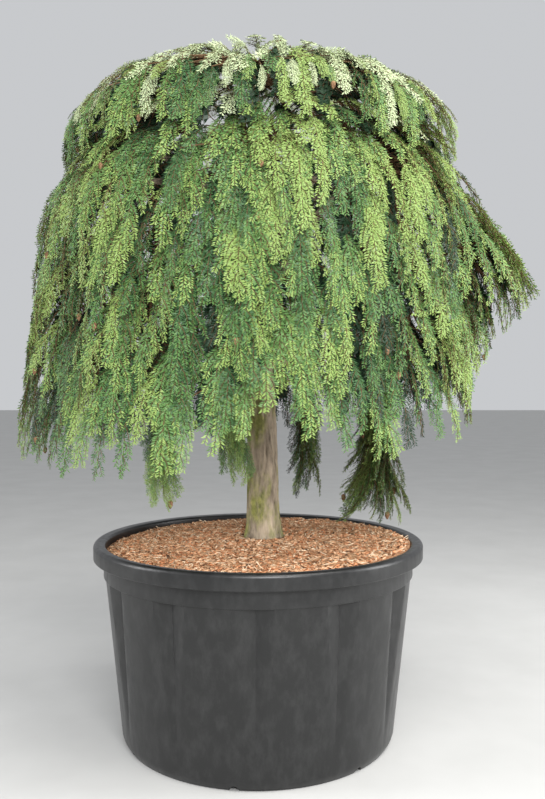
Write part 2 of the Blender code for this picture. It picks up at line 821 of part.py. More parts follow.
def press_grooves(bm):
    """Move the columns of a turned wall to the grooves' edges and middles."""
    step = 2.0 * math.pi / (GROOVE_COUNT * COLUMNS_PER_GROOVE)
    half_pitch = math.pi / GROOVE_COUNT
    for vert in bm.verts:
        radius = vert.co.xy.length
        if radius < 1e-6:
            continue
        column = round(math.atan2(vert.co.y, vert.co.x) / step)
        place = column % COLUMNS_PER_GROOVE
        middle = (column - place) * step
        if place == 3:
            middle += 2.0 * half_pitch
        share = groove_share(vert.co.z)
        above = vert.co.z > BAND_BOTTOM_Z - 2.0 * GROOVE_ROOF
        half = GROOVE_HALF_ANGLE if above else mix(GROOVE_END_HALF_ANGLE, GROOVE_HALF_ANGLE, share)
        turn = {0: 0.0, 1: half, 2: half_pitch, 3: -half}[place]
        if place == 0:
            radius -= GROOVE_DEPTH * share
        azimuth = middle + turn - 0.5 * math.pi
        vert.co = polar(radius, azimuth, vert.co.z)
    walls = [f for f in bm.faces if len(f.verts) == 4]
    bmesh.ops.triangulate(bm, faces=walls, quad_method="SHORT_EDGE")


def turn_profile(profile):
    """Spin a profile of radius and height once round the axis."""
    bm = bmesh.new()
    verts = [bm.verts.new((radius, 0.0, z)) for radius, z in profile]
    edges = [bm.edges.new(pair) for pair in zip(verts, verts[1:])]
    bmesh.ops.spin(
        bm,
        geom=verts + edges,
        axis=UP,
        cent=(0.0, 0.0, 0.0),
        steps=GROOVE_COUNT * COLUMNS_PER_GROOVE,
        angle=2.0 * math.pi,
        use_merge=True,
    )
    bmesh.ops.remove_doubles(bm, verts=bm.verts, dist=1e-5)
    return bm


def wall_heights():
    """The heights at which the pressed wall changes its slope, from the foot up."""
    groove_top = BAND_BOTTOM_Z - 2.0 * GROOVE_ROOF
    return (0.0, FOOT_CURVE_Z, GROOVE_END_Z, groove_top, groove_top + GROOVE_ROOF)


def make_pot(material):
    """The container: tapered grooved wall, ledge, band, rolled collar and floor."""
    collar_bottom = POT_HEIGHT - COLLAR_DROP
    crest = POT_HEIGHT
    shoulder = 0.012
    profile = [(0.0, 0.0)]
    profile += [(wall_radius(z), z) for z in wall_heights()]
    profile += [
        (BAND_RADIUS, BAND_BOTTOM_Z),
        (BAND_RADIUS + 0.001, crest - 2.0 * LIP_THICKNESS),
        (RIM_RADIUS - LIP_THICKNESS, crest - 2.0 * LIP_THICKNESS),
        (RIM_RADIUS - LIP_THICKNESS - 0.001, collar_bottom),
        (RIM_RADIUS - 0.002, collar_bottom),
        (RIM_RADIUS, crest - shoulder),
        (RIM_RADIUS - 0.8 * shoulder, crest),
        (RIM_RADIUS - RIM_WIDTH + 0.5 * shoulder, crest - 0.15 * shoulder),
        (RIM_RADIUS - RIM_WIDTH, crest - 0.75 * shoulder),
        (BAND_RADIUS - POT_WALL, crest - 3.0 * shoulder),
        (BAND_RADIUS - POT_WALL, BAND_BOTTOM_Z),
    ]
    profile += [(wall_radius(z) - POT_WALL, z) for z in reversed(wall_heights()[1:])]
    profile += [(FOOT_RADIUS - 0.5 * POT_WALL, POT_FLOOR), (0.0, POT_FLOOR)]
    bm = turn_profile(profile)
    press_grooves(bm)
    flatten_disc(bm, 0.0)
    flatten_disc(bm, POT_FLOOR)
    pot = mesh_object("pot", bm, material, smooth_angle=math.radians(28.0))
    add_drain_cutters(pot)
    return pot


def flatten_disc(bm, z):
    """Turn the fan round the axis at a height into one flat face."""
    fan = [f for f in bm.faces if all(abs(v.co.z - z) < 1e-7 for v in f.verts)]
    fan = [f for f in fan if min(v.co.xy.length for v in f.verts) < 1e-6]
    bmesh.ops.dissolve_faces(bm, faces=fan)


def add_drain_cutters(pot):
    """Cut the arched drain slots through the foot of the wall."""
    bm = bmesh.new()
    for i in range(DRAIN_COUNT):
        azimuth = DRAIN_FIRST_AZIMUTH + 2.0 * math.pi * i / DRAIN_COUNT
        outward = Matrix.Rotation(azimuth, 4, "Z")
        inner = FOOT_RADIUS - 0.012
        lie = Matrix.Translation((inner, 0.0, 0.0)) @ Matrix.Rotation(0.5 * math.pi, 4, "Y")
        ring = bmesh.ops.create_circle(
            bm, cap_ends=True, segments=10, radius=0.5 * DRAIN_WIDTH, matrix=outward @ lie
        )
        face = ring["verts"][0].link_faces[0]
        grown = bmesh.ops.extrude_face_region(bm, geom=[face])["geom"]
        outer = [part for part in grown if isinstance(part, bmesh.types.BMVert)]
        reach = outward @ Vector((0.040, 0.0, 0.0))
        bmesh.ops.translate(bm, verts=outer, vec=reach)
    for vert in bm.verts:
        vert.co.z *= DRAIN_HEIGHT / (0.5 * DRAIN_WIDTH)
        vert.co.z = max(vert.co.z, -DRAIN_HEIGHT)
    cutter = mesh_object("drain_cutter", bm)
    cutter.hide_render = True
    cutter.display_type = "WIRE"
    cut = pot.modifiers.new("Drains", "BOOLEAN")
    cut.operation = "DIFFERENCE"
    cut.object = cutter
    cut.solver = "EXACT"


def make_soil(material):
    """The filled mulch: it follows the wall inside and mounds up to the trunk."""
    heights = wall_heights()[1:]
    floor_z = POT_FLOOR + GAP
    profile = [(0.0, floor_z), (FOOT_RADIUS - 0.5 * POT_WALL - 2.0 * GAP, floor_z)]
    for z in heights:
        profile.append((wall_radius(z) - POT_WALL - 2.0 * GAP, z))
    side = BAND_RADIUS - POT_WALL - 2.0 * GAP
    profile += [(side, BAND_BOTTOM_Z + GAP), (side, SOIL_EDGE_Z)]
    seat_z = TRUNK_FOOT_Z - GAP
    for radius in (0.330, 0.180):
        profile.append((radius, mix(seat_z, SOIL_EDGE_Z, (radius / side) ** 2)))
    profile += [(SEAT_RADIUS, seat_z), (0.0, seat_z)]
    bm = turn_profile(profile)
    press_grooves(bm)
    for vert in bm.verts:
        radius = vert.co.xy.length
        if vert.co.z > SOIL_EDGE_Z - 0.001 and radius > SEAT_RADIUS + 0.01:
            azimuth = math.atan2(vert.co.y, vert.co.x)
            tilt = SOIL_EDGE_TILT * math.cos(azimuth - SOIL_EDGE_HIGH_AZIMUTH)
            ripple = math.sin(9.0 * azimuth + 40.0 * radius) * math.cos(5.0 * azimuth)
            vert.co.z += tilt * (radius / side) ** 2 + SOIL_RELIEF * ripple
    flatten_disc(bm, floor_z)
    flatten_disc(bm, seat_z)
    return mesh_object("soil", bm, material, smooth_angle=math.radians(40.0))


def make_trunk(material):
    """The trunk, from its flat cut at the mulch to its tip inside the crown."""
    return mesh_object("trunk", trunk_mesh(0.0), material, smooth_angle=math.radians(50.0))


def make_bough(name, points, cutter, material):
    """One tapering bough, cut to the trunk's side with a small clearance."""
    bm = bmesh.new()
    last = len(points) - 1
    radii = [mix(BOUGH_BASE_RADIUS, BOUGH_TIP_RADIUS, (i / last) ** 0.8) for i in range(last + 1)]
    add_limb(bm, points, radii, BOUGH_SIDES)
    bough = mesh_object(name, bm, material, smooth_angle=math.radians(50.0))
    cut = bough.modifiers.new("Trunk", "BOOLEAN")
    cut.operation = "DIFFERENCE"
    cut.object = cutter
    cut.solver = "EXACT"
    return radii


def main():
    clear_scene()
    plastic = make_material("container_plastic", (0.045, 0.046, 0.047), 0.45)
    mulch = make_material("bark_mulch", (0.52, 0.30, 0.17), 0.95)
    bark = make_material("trunk_bark", (0.30, 0.26, 0.20), 0.90)
    bough_bark = make_material("bough_bark", (0.24, 0.17, 0.12), 0.85)
    needles = make_material("needle_green", (0.12, 0.26, 0.05), 0.60)

    make_pot(plastic)
    make_soil(mulch)
    make_trunk(bark)
    cutter = mesh_object("trunk_cutter", trunk_mesh(GAP))
    cutter.hide_render = True
    cutter.display_type = "WIRE"

    limbs = Limbs()
    heights = [mix(TRUNK_FOOT_Z, TRUNK_TOP_Z, i / 20) for i in range(21)]
    limbs.add([trunk_centre(z) for z in heights], [trunk_radius(z) for z in heights])

    masses = [Curtain(i) for i in range(len(CURTAINS))]
    masses += [Cap(i) for i in range(len(CAPS))]
    masses += [Tail(i) for i in range(len(TAILS))]
    for mass in masses:
        points = list(mass.bough())
        mass.facing = (points[-1] - points[-2]).normalized()
        name = mass.name.replace("foliage_", "bough_")
        radii = make_bough(name, points, cutter, bough_bark)
        limbs.add(points[:-1], radii[:-1])
    masses.append(Tuft())
    for i, mass in enumerate(masses):
        make_mass(mass, limbs, needles, SEED + i)


main()
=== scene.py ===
"""Weeping hemlock standard in a round nursery container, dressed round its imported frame.

The crown's shape, its masses and the rule by which sprays hang from their stems are the
source's own, carried on here to fine twigs and needles. Metres, +Z up, front along -Y.
"""

import math
import random

import bmesh
import bpy
import numpy as np
from mathutils import Matrix, Vector, noise
from mathutils.geometry import interpolate_bezier, intersect_point_line


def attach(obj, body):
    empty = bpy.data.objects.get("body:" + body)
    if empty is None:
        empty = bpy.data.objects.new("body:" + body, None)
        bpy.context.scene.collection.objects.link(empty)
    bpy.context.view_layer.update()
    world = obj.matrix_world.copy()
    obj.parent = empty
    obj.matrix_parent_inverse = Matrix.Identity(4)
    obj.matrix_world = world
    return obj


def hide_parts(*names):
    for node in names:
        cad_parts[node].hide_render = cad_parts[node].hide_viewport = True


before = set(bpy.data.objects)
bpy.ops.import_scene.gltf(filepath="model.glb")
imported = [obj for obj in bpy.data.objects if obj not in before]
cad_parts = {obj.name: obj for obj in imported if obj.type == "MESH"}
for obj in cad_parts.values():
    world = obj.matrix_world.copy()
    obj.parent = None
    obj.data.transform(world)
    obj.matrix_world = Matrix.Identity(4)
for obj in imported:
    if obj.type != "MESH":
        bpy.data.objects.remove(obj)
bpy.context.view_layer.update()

bl_info = {
    "name": "Weeping Hemlock Standard",
    "version": (1, 0, 0),
    "blender": (4, 5, 0),
    "location": "View3D > Sidebar > Hemlock",
    "description": "Dresses a potted weeping hemlock with bark, twigs, needles and mulch",
    "category": "Object",
}

BODY = "root"
UP = Vector((0.0, 0.0, 1.0))
GOLDEN_ANGLE = math.pi * (3.0 - math.sqrt(5.0))

# Container
POT_HEIGHT = 0.535
RIM_RADIUS = 0.474
RIM_WIDTH = 0.034
COLLAR_DROP = 0.042
LIP_THICKNESS = 0.006
BAND_RADIUS = 0.4435
BAND_BOTTOM_Z = 0.444
LEDGE = 0.0055
FOOT_CURVE_Z = 0.030
FOOT_CURVE_RADIUS = 0.385
FOOT_RADIUS = 0.372
POT_WALL = 0.005
POT_FLOOR = 0.006
GROOVE_COUNT = 12
GROOVE_HALF_ANGLE = math.radians(6.3)
GROOVE_END_HALF_ANGLE = math.radians(1.4)
GROOVE_DEPTH = 0.019
GROOVE_END_Z = 0.050
GROOVE_TOP_Z = BAND_BOTTOM_Z - 0.002
COLUMNS_PER_GROOVE = 24
DRAIN_COUNT = 7
DRAIN_WIDTH = 0.024
DRAIN_HEIGHT = 0.013
DRAIN_FIRST_AZIMUTH = math.radians(-98.0)

# Mulch
SOIL_EDGE_Z = 0.519
SOIL_EDGE_TILT = 0.010
SOIL_EDGE_HIGH_AZIMUTH = math.radians(-20.0)
SOIL_TOP_Z = 0.5377
BED_RADIUS = BAND_RADIUS - POT_WALL
CHIP_COUNT = 11000
FIBRE_COUNT = 2600

# Trunk
TRUNK_FOOT_Z = 0.538
TRUNK_TOP_Z = 1.720
TRUNK_FOOT_RADIUS = 0.0475
TRUNK_TOP_RADIUS = 0.014
TRUNK_TAPER_POWER = 1.6
FLARE_GAIN = 0.24
FLARE_FADE = 0.035
ROOT_LOBES = 5
ROOT_LOBE_DEPTH = 0.07
TRUNK_FOOT_X = 0.0125
TRUNK_LEAN = -0.0225
TRUNK_SWAY = 0.006

# Boughs
BOUGH_BASE_RADIUS = 0.017
BOUGH_TIP_RADIUS = 0.008
LOWEST_BOUGH_Z = 1.190
BOUGH_STEP_Z = 0.046
CAP_BOUGH_Z = 1.520

# Crown: a dome over curtains, with one long flare on the right
CROWN_TOP = 1.940
SHOULDER_Z = 1.600
SHOULDER_RADIUS = 0.600
DOME_POWER = 2.6
FOOT_Z = 0.780
BELLY = 1.35
FLARE_REACH = 0.215
FLARE_Z = 1.250
FLARE_HALF_HEIGHT = 0.170
FLARE_HALF_ANGLE = math.radians(32.0)
WINDOW_AZIMUTH = math.radians(-87.0)
WINDOW_HALF_ANGLE = math.radians(8.0)
WINDOW_RISE = 0.140
CURTAIN_DEPTH = 0.215
CURTAIN_TIP_Z = 1.600
STEM_TURN_Z = 1.440
STEM_DEPTH = 0.118
STEM_OVER_HEM = 0.110
CAP_TIP_RADIUS = 0.205
CAP_TIP_Z = 1.700
CAP_STEM_RADIUS = 0.440
CAP_STEM_DEPTH = 0.075
TUFT_RADIUS = 0.185
LIMB_GAP = 0.007
SEAM_WAVE = math.radians(1.3)
SEAM_WAVES_PER_METRE = 9.0

# Name, hem height and crown radius at the foot of each curtain
CURTAINS = (
    ("right", 0.930, 0.620),
    ("back_right", 0.850, 0.665),
    ("back", 0.800, 0.670),
    ("back_left", 0.790, 0.680),
    ("left", 0.790, 0.690),
    ("front_left", 0.775, 0.680),
    ("front", 0.790, 0.660),
    ("front_right", 0.840, 0.650),
)
CAPS = ("cap_right", "cap_back", "cap_left", "cap_front")

# Name, centre, top, tip, spread above and below, sprays and height of the bough
TAILS = (
    ("tail_low_right", (0.350, 0.105), 1.060, 0.556, 0.045, 0.120, 150, 1.100),
    ("tail_low_left", (-0.240, -0.330), 1.060, 0.655, 0.060, 0.040, 40, 1.080),
    ("tail_behind_trunk", (0.135, 0.100), 1.020, 0.630, 0.050, 0.050, 36, 1.010),
    ("tail_before_trunk", (-0.060, -0.150), 1.020, 0.700, 0.045, 0.045, 30, 0.950),
)

# Sprays
SPRAY_LENGTH = 0.205
SPRAY_BOW = 0.10
SPRAY_SHARE = 0.80
ROOT_DEPTH = 0.030
TIP_TILT = math.radians(21.0)
SHOULDER_TILT = math.radians(62.0)
TILT_FADE_Z = (1.360, 1.640)
TOP_ROW_Z = 1.610
CURTAIN_ROWS = 13
CURTAIN_COLUMNS = 8
INNER_ROWS = 6
INNER_COLUMNS = 5
CAP_RINGS = ((0.250, 4), (0.310, 5), (0.370, 6), (0.430, 7), (0.485, 8), (0.535, 9), (0.572, 10))
INNER_CAP_RINGS = ((0.330, 3), (0.430, 4), (0.520, 5))
SKIRT_TIPS = (1.580, 1.730)
SKIRT_ROOT_RADII = (0.500, 0.560)
SKIRT_SPRAYS = 30
TUFT_SPRAYS = 26
INNER_DEPTH = 0.075
RELIEF_DEPTH = 0.050
TEMPLATE_COUNT = 14
SHOOTS = 10
NEEDLE_STEP = 0.021
# Heights where the pale tone takes over: a painted highlight on the crown's top, over the needles' real
# silvery undersides.
PALE_FROM_Z = 1.600
PALE_FADE_Z = 1.570
PALE_RISE = 3.2
# The side of the crown whose sprays are painted lighter, as if lit from there.
LIT_AZIMUTH = math.radians(-50.0)
PIECE_FACES = 95000
CONE_COUNT = 42
CONE_TOP_Z = 1.800
SEED = 41

# Camera
CAMERA_X = 0.0406
CAMERA_LENS = 37.12
CAMERA_SHIFT_Y = -0.1125


def mix(a, b, t):
    """The value a share t of the way from a to b."""
    return a + (b - a) * t


def clamp(value, low=0.0, high=1.0):
    """The value, held between two limits."""
    return max(low, min(high, value))


def polar(radius, azimuth, z):
    """The point at a radius, an azimuth from +X and a height."""
    return Vector((radius * math.cos(azimuth), radius * math.sin(azimuth), z))


def turn_between(azimuth, other):
    """The signed smallest turn from one azimuth to another."""
    return (azimuth - other + math.pi) % (2.0 * math.pi) - math.pi


# Materials


def new_material(name, roughness, specular=0.3):
    """A Principled material with its tree and shader."""
    material = bpy.data.materials.new(name)
    material.use_nodes = True
    shader = material.node_tree.nodes["Principled BSDF"]
    shader.inputs["Roughness"].default_value = roughness
    shader.inputs["Specular IOR Level"].default_value = specular
    return material, material.node_tree, shader


def add_noise(tree, scale, stretch=(1.0, 1.0, 1.0), detail=6.0, rough=0.6):
    """A noise that lies on the object's own coordinates."""
    place = tree.nodes.new("ShaderNodeTexCoord")
    turn = tree.nodes.new("ShaderNodeMapping")
    turn.inputs["Scale"].default_value = stretch
    grain = tree.nodes.new("ShaderNodeTexNoise")
    grain.inputs["Scale"].default_value = scale
    grain.inputs["Detail"].default_value = detail
    grain.inputs["Roughness"].default_value = rough
    tree.links.new(place.outputs["Object"], turn.inputs["Vector"])
    tree.links.new(turn.outputs["Vector"], grain.inputs["Vector"])
    return grain.outputs["Fac"]


def add_ramp(tree, source, stops):
    """A colour ramp over a value; each stop is a place and a colour."""
    node = tree.nodes.new("ShaderNodeValToRGB")
    line = node.color_ramp.elements
    for i, (place, colour) in enumerate(stops):
        stop = line[i] if i < 2 else line.new(place)
        stop.position = place
        stop.color = (*colour, 1.0)
    tree.links.new(source, node.inputs["Fac"])
    return node.outputs["Color"]


def add_blend(tree, share, first, second):
    """Two colours blended by a share."""
    node = tree.nodes.new("ShaderNodeMix")
    node.data_type = "RGBA"
    tree.links.new(share, node.inputs[0])
    tree.links.new(first, node.inputs[6])
    tree.links.new(second, node.inputs[7])
    return node.outputs[2]


def add_bump(tree, shader, height, strength, distance):
    """Fine relief on a shader's normal."""
    node = tree.nodes.new("ShaderNodeBump")
    node.inputs["Strength"].default_value = strength
    node.inputs["Distance"].default_value = distance
    tree.links.new(height, node.inputs["Height"])
    tree.links.new(node.outputs["Normal"], shader.inputs["Normal"])


def plastic_material(settings):
    """Dark moulded plastic, dusty and faintly scuffed."""
    material, tree, shader = new_material("container_plastic", 0.34, 0.5)
    dark = tuple(settings.container_colour)
    dusty = tuple(mix(c, 0.20, 0.10) for c in dark)
    cloud = add_noise(tree, 34.0, (1.0, 1.0, 0.5), 9.0, 0.7)
    colour = add_ramp(tree, cloud, ((0.45, dark), (0.80, dusty)))
    tree.links.new(colour, shader.inputs["Base Color"])
    scuff = add_noise(tree, 60.0, (1.0, 1.0, 0.25), 8.0)
    gloss = add_ramp(tree, scuff, ((0.35, (0.30,) * 3), (0.75, (0.44,) * 3)))
    tree.links.new(gloss, shader.inputs["Roughness"])
    add_bump(tree, shader, add_noise(tree, 420.0, detail=3.0), 0.12, 0.0006)
    return material


def bark_material(name, settings, mossy):
    """Fissured grey-brown bark, with moss where asked."""
    material, tree, shader = new_material(name, 0.9, 0.15)
    deep = (0.045, 0.032, 0.024)
    base = tuple(settings.bark_colour)
    light = tuple(min(1.0, c * 1.75) for c in base)
    grain = add_noise(tree, 26.0, (1.0, 1.0, 0.22), 9.0, 0.65)
    colour = add_ramp(tree, grain, ((0.34, deep), (0.50, base), (0.68, light)))
    if mossy:
        moss_grain = add_noise(tree, 90.0, (1.0, 1.0, 0.7), 5.0)
        moss = add_ramp(tree, moss_grain, ((0.35, (0.09, 0.11, 0.02)), (0.70, (0.33, 0.34, 0.08))))
        cover = add_noise(tree, 11.0, (1.6, 1.0, 0.5), 7.0)
        share = add_ramp(tree, cover, ((0.47, (0.0,) * 3), (0.60, (0.85,) * 3)))
        colour = add_blend(tree, share, colour, moss)
    tree.links.new(colour, shader.inputs["Base Color"])
    add_bump(tree, shader, add_noise(tree, 120.0, (1.0, 1.0, 0.3), 8.0), 0.6, 0.002)
    return material


def grain_material(name, low, high, scale, stretch=(1.0, 1.0, 1.0)):
    """Dry woody stuff between two colours."""
    material, tree, shader = new_material(name, 0.92, 0.12)
    grain = add_noise(tree, scale, stretch, 7.0)
    colour = add_ramp(tree, grain, ((0.36, low), (0.66, high)))
    tree.links.new(colour, shader.inputs["Base Color"])
    add_bump(tree, shader, add_noise(tree, 3.0 * scale, stretch, 5.0), 0.5, 0.0015)
    return material


def needle_material(name, colour):
    """Waxy needles of one plain tone."""
    material, _, shader = new_material(name, 0.48, 0.35)
    shader.inputs["Base Color"].default_value = (*colour, 1.0)
    return material


# Meshes


def finish_piece(name, mesh, material, nodes=(), smooth_angle=None):
    """Link a mesh as a piece that rides on the body, with the given material, and hide the nodes it
    replaces.
    """
    mesh.materials.clear()
    mesh.materials.append(material)
    if smooth_angle is not None:
        mesh.shade_smooth()
        mesh.set_sharp_from_angle(angle=smooth_angle)
    piece = bpy.data.objects.new(name, mesh)
    bpy.context.scene.collection.objects.link(piece)
    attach(piece, BODY)
    if nodes:
        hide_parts(*nodes)
    return piece


def mesh_from_bmesh(name, bm):
    """A mesh with outward faces from a bmesh of closed shells."""
    bmesh.ops.recalc_face_normals(bm, faces=bm.faces)
    mesh = bpy.data.meshes.new(name)
    bm.to_mesh(mesh)
    bm.free()
    return mesh


def mesh_from_arrays(name, points, faces):
    """A joined mesh from an array of points and an array of faces of one size."""
    count, corners = faces.shape
    mesh = bpy.data.meshes.new(name)
    mesh.vertices.add(len(points))
    mesh.vertices.foreach_set("co", points.astype(np.float32).ravel())
    mesh.loops.add(count * corners)
    mesh.loops.foreach_set("vertex_index", faces.astype(np.int32).ravel())
    mesh.polygons.add(count)
    mesh.polygons.foreach_set("loop_start", np.arange(count, dtype=np.int32) * corners)
    mesh.update(calc_edges=True)
    mesh.validate()
    return mesh


def tube_arrays(lines, radii, sides):
    """Points and faces of open tubes along many lines of the same number of points."""
    run = np.gradient(lines, axis=1)
    run /= np.linalg.norm(run, axis=2, keepdims=True)
    steep = np.abs(run.mean(axis=1)[:, 2:3]) > 0.8
    beside = np.where(steep, (1.0, 0.0, 0.0), (0.0, 0.0, 1.0))[:, None, :]
    across = np.cross(run, beside)
    across /= np.linalg.norm(across, axis=2, keepdims=True)
    other = np.cross(run, across)
    turn = np.arange(sides) * 2.0 * np.pi / sides
    wheel = (
        np.cos(turn)[:, None] * across[:, :, None, :] + np.sin(turn)[:, None] * other[:, :, None, :]
    )
    points = lines[:, :, None, :] + radii[:, :, None, None] * wheel
    count, rings = lines.shape[:2]
    line, ring, side = np.meshgrid(
        np.arange(count), np.arange(rings - 1), np.arange(sides), indexing="ij"
    )
    beyond = (side + 1) % sides
    base = (line * rings + ring) * sides
    above = base + sides
    faces = np.stack((base + side, base + beyond, above + beyond, above + side), axis=-1)
    return points.reshape(-1, 3), faces.reshape(-1, 4)


def join_arrays(parts):
    """Several sets of points and faces as one."""
    points = []
    faces = []
    offset = 0
    for some_points, some_faces in parts:
        points.append(some_points)
        faces.append(some_faces + offset)
        offset += len(some_points)
    return np.concatenate(points), np.concatenate(faces)


def frames_along(points):
    """A frame at each point of a curve, Z along it, carried on without twist."""
    tangents = []
    for i in range(len(points)):
        ahead = points[min(i + 1, len(points) - 1)] - points[max(i - 1, 0)]
        tangents.append(ahead.normalized())
    turn = tangents[0].to_track_quat("Z", "Y")
    frames = [Matrix.Translation(points[0]) @ turn.to_matrix().to_4x4()]
    for i in range(1, len(points)):
        turn = tangents[i - 1].rotation_difference(tangents[i]) @ turn
        frames.append(Matrix.Translation(points[i]) @ turn.to_matrix().to_4x4())
    return frames


def add_barked_limb(bm, points, radii, sides, relief):
    """A closed limb rolled up from a grid, with its bark standing in relief."""
    frames = frames_along(points)
    last = len(points) - 1
    grid = bmesh.ops.create_grid(bm, x_segments=sides, y_segments=last, size=0.5)["verts"]
    for vert in grid:
        i = round((vert.co.y + 0.5) * last)
        turn = 2.0 * math.pi * (vert.co.x + 0.5)
        radius = radii[i]
        foot = frames[i] @ Vector((radius * math.cos(turn), radius * math.sin(turn), 0.0))
        out = (foot - points[i]).normalized()
        vert.co = foot + out * relief(foot)
    bmesh.ops.remove_doubles(bm, verts=grid, dist=1e-5)
    rims = [edge for edge in bm.edges if edge.is_boundary]
    bmesh.ops.holes_fill(bm, edges=rims, sides=0)


# The crown, as in the source


def trunk_centre(z):
    """The middle of the trunk at a height."""
    t = (z - TRUNK_FOOT_Z) / (TRUNK_TOP_Z - TRUNK_FOOT_Z)
    sway = TRUNK_SWAY * math.sin(math.pi * 2.0 * t)
    return Vector((TRUNK_FOOT_X + TRUNK_LEAN * t + 0.5 * sway, sway, z))


def trunk_radius(z):
    """The trunk's radius at a height, with the flare over its roots."""
    height = max(z - TRUNK_FOOT_Z, 0.0)
    t = height / (TRUNK_TOP_Z - TRUNK_FOOT_Z)
    body = mix(TRUNK_FOOT_RADIUS, TRUNK_TOP_RADIUS, t**TRUNK_TAPER_POWER)
    return body * (1.0 + FLARE_GAIN * math.exp(-height / FLARE_FADE))


def bough_points(azimuth, leave_z, tip, count):
    """A bough's arch, from the trunk's middle to its tip."""
    start = trunk_centre(leave_z)
    reach = (tip - start).xy.length
    out = Vector((math.cos(azimuth), math.sin(azimuth), 0.0))
    rise = 0.75 * max(tip.z - leave_z, 0.0)
    first = start + out * (0.40 * reach) + UP * rise
    second = tip - out * (0.38 * reach) + UP * 0.015
    return interpolate_bezier(start, first, second, tip, count)


def ring_value(azimuth, values):
    """A value that turns smoothly from one curtain's to the next one's."""
    place = (azimuth / (2.0 * math.pi)) % 1.0 * len(values)
    before = int(place) % len(values)
    share = 0.5 - 0.5 * math.cos(math.pi * (place - int(place)))
    return mix(values[before], values[(before + 1) % len(values)], share)


def hem_height(azimuth):
    """How low the foliage hangs, with the window before the trunk."""
    hem = ring_value(azimuth, [row[1] for row in CURTAINS])
    off = turn_between(azimuth, WINDOW_AZIMUTH) / WINDOW_HALF_ANGLE
    return hem + WINDOW_RISE * math.exp(-off * off)


def crown_radius(azimuth, z):
    """The crown's outer radius at an azimuth and a height."""
    if z >= SHOULDER_Z:
        t = min((z - SHOULDER_Z) / (CROWN_TOP - SHOULDER_Z), 1.0)
        radius = SHOULDER_RADIUS * (1.0 - t**DOME_POWER) ** (1.0 / DOME_POWER)
    else:
        foot = ring_value(azimuth, [row[2] for row in CURTAINS])
        share = (SHOULDER_Z - z) / (SHOULDER_Z - FOOT_Z)
        radius = mix(SHOULDER_RADIUS, foot, share * (1.0 + BELLY - BELLY * share))
    up = (z - FLARE_Z) / FLARE_HALF_HEIGHT
    turn = turn_between(azimuth, 0.0) / FLARE_HALF_ANGLE
    return radius + FLARE_REACH * math.exp(-up * up) * math.exp(-turn * turn)


def dome_height(radius):
    """The height of the dome over a radius."""
    t = min(radius / SHOULDER_RADIUS, 1.0)
    rise = (1.0 - t**DOME_POWER) ** (1.0 / DOME_POWER)
    return SHOULDER_Z + (CROWN_TOP - SHOULDER_Z) * rise


def ridge(point):
    """How far a place stands out on the cascades of the surface, from 0 to 1."""
    place = Vector((6.5 * point.x, 6.5 * point.y, 3.2 * point.z + 7.0))
    return clamp(0.5 + 0.95 * noise.noise(place))


class Sector:
    """A wedge of the crown between two seams that wave with height."""

    def __init__(self, index, count):
        self.index = index
        self.half = math.pi / count
        self.middle = 2.0 * self.half * index

    def middle_at(self, z):
        """The azimuth of the sector's middle at a height."""
        return self.middle + SEAM_WAVE * math.sin(SEAM_WAVES_PER_METRE * z)


class Curtain(Sector):
    """Foliage that hangs from the shoulder to the hem in one sector."""

    def __init__(self, index):
        super().__init__(index, len(CURTAINS))
        self.name = "foliage_" + CURTAINS[index][0]
        self.tip = polar(SHOULDER_RADIUS - CURTAIN_DEPTH + 0.005, self.middle, CURTAIN_TIP_Z)

    def bough(self, count):
        """The bough's middle line, from the trunk to the shoulder."""
        order = (5 * self.index) % len(CURTAINS)
        return bough_points(self.middle, LOWEST_BOUGH_Z + order * BOUGH_STEP_Z, self.tip, count)

    def stem(self):
        """Out of the bough's tip, over the shoulder and down behind the surface."""
        turn_radius = crown_radius(self.middle, STEM_TURN_Z) - STEM_DEPTH
        turn = polar(turn_radius, self.middle, STEM_TURN_Z)
        out = polar(1.0, self.middle, 0.0)
        ahead = self.tip + out * 0.09 + UP * 0.01
        points = list(interpolate_bezier(self.tip, ahead, turn + UP * 0.11, turn, 7))
        low = hem_height(self.middle) + STEM_OVER_HEM
        for i in range(1, 6):
            z = mix(STEM_TURN_Z, low, i / 5)
            points.append(polar(crown_radius(self.middle, z) - STEM_DEPTH, self.middle, z))
        return points

    def sprays(self, rng, inner):
        """Root and tip of each hanging spray, in staggered rows like shingles."""
        rows, columns = (INNER_ROWS, INNER_COLUMNS) if inner else (CURTAIN_ROWS, CURTAIN_COLUMNS)
        for row in range(rows):
            for column in range(columns):
                share = (column + 0.5 * (row % 2) + rng.uniform(0.0, 0.5)) / columns * 2.0 - 1.0
                seam = self.half - 0.012 / SHOULDER_RADIUS
                azimuth = self.middle + share * seam
                low = hem_height(azimuth) + (0.10 if inner else 0.0)
                drop = (row / (rows - 1)) ** 0.85
                z = mix(TOP_ROW_Z, low - 0.012, drop) + rng.uniform(0.0, 0.04)
                azimuth = self.middle_at(z) + share * seam
                fade = clamp((z - TILT_FADE_Z[0]) / (TILT_FADE_Z[1] - TILT_FADE_Z[0]))
                tilt = mix(TIP_TILT, SHOULDER_TILT, fade) + rng.uniform(-0.12, 0.12)
                radius = crown_radius(azimuth, z)
                back = RELIEF_DEPTH * (1.0 - ridge(polar(radius, azimuth, z)))
                radius -= INNER_DEPTH + rng.uniform(0.0, 0.03) if inner else back
                length = SPRAY_LENGTH * rng.uniform(0.78, 1.08)
                root_z = z + length * math.cos(tilt)
                root_radius = radius - length * math.sin(tilt)
                root_radius = min(root_radius, crown_radius(azimuth, root_z) - ROOT_DEPTH)
                yield polar(root_radius, azimuth, root_z), polar(radius, azimuth, z)


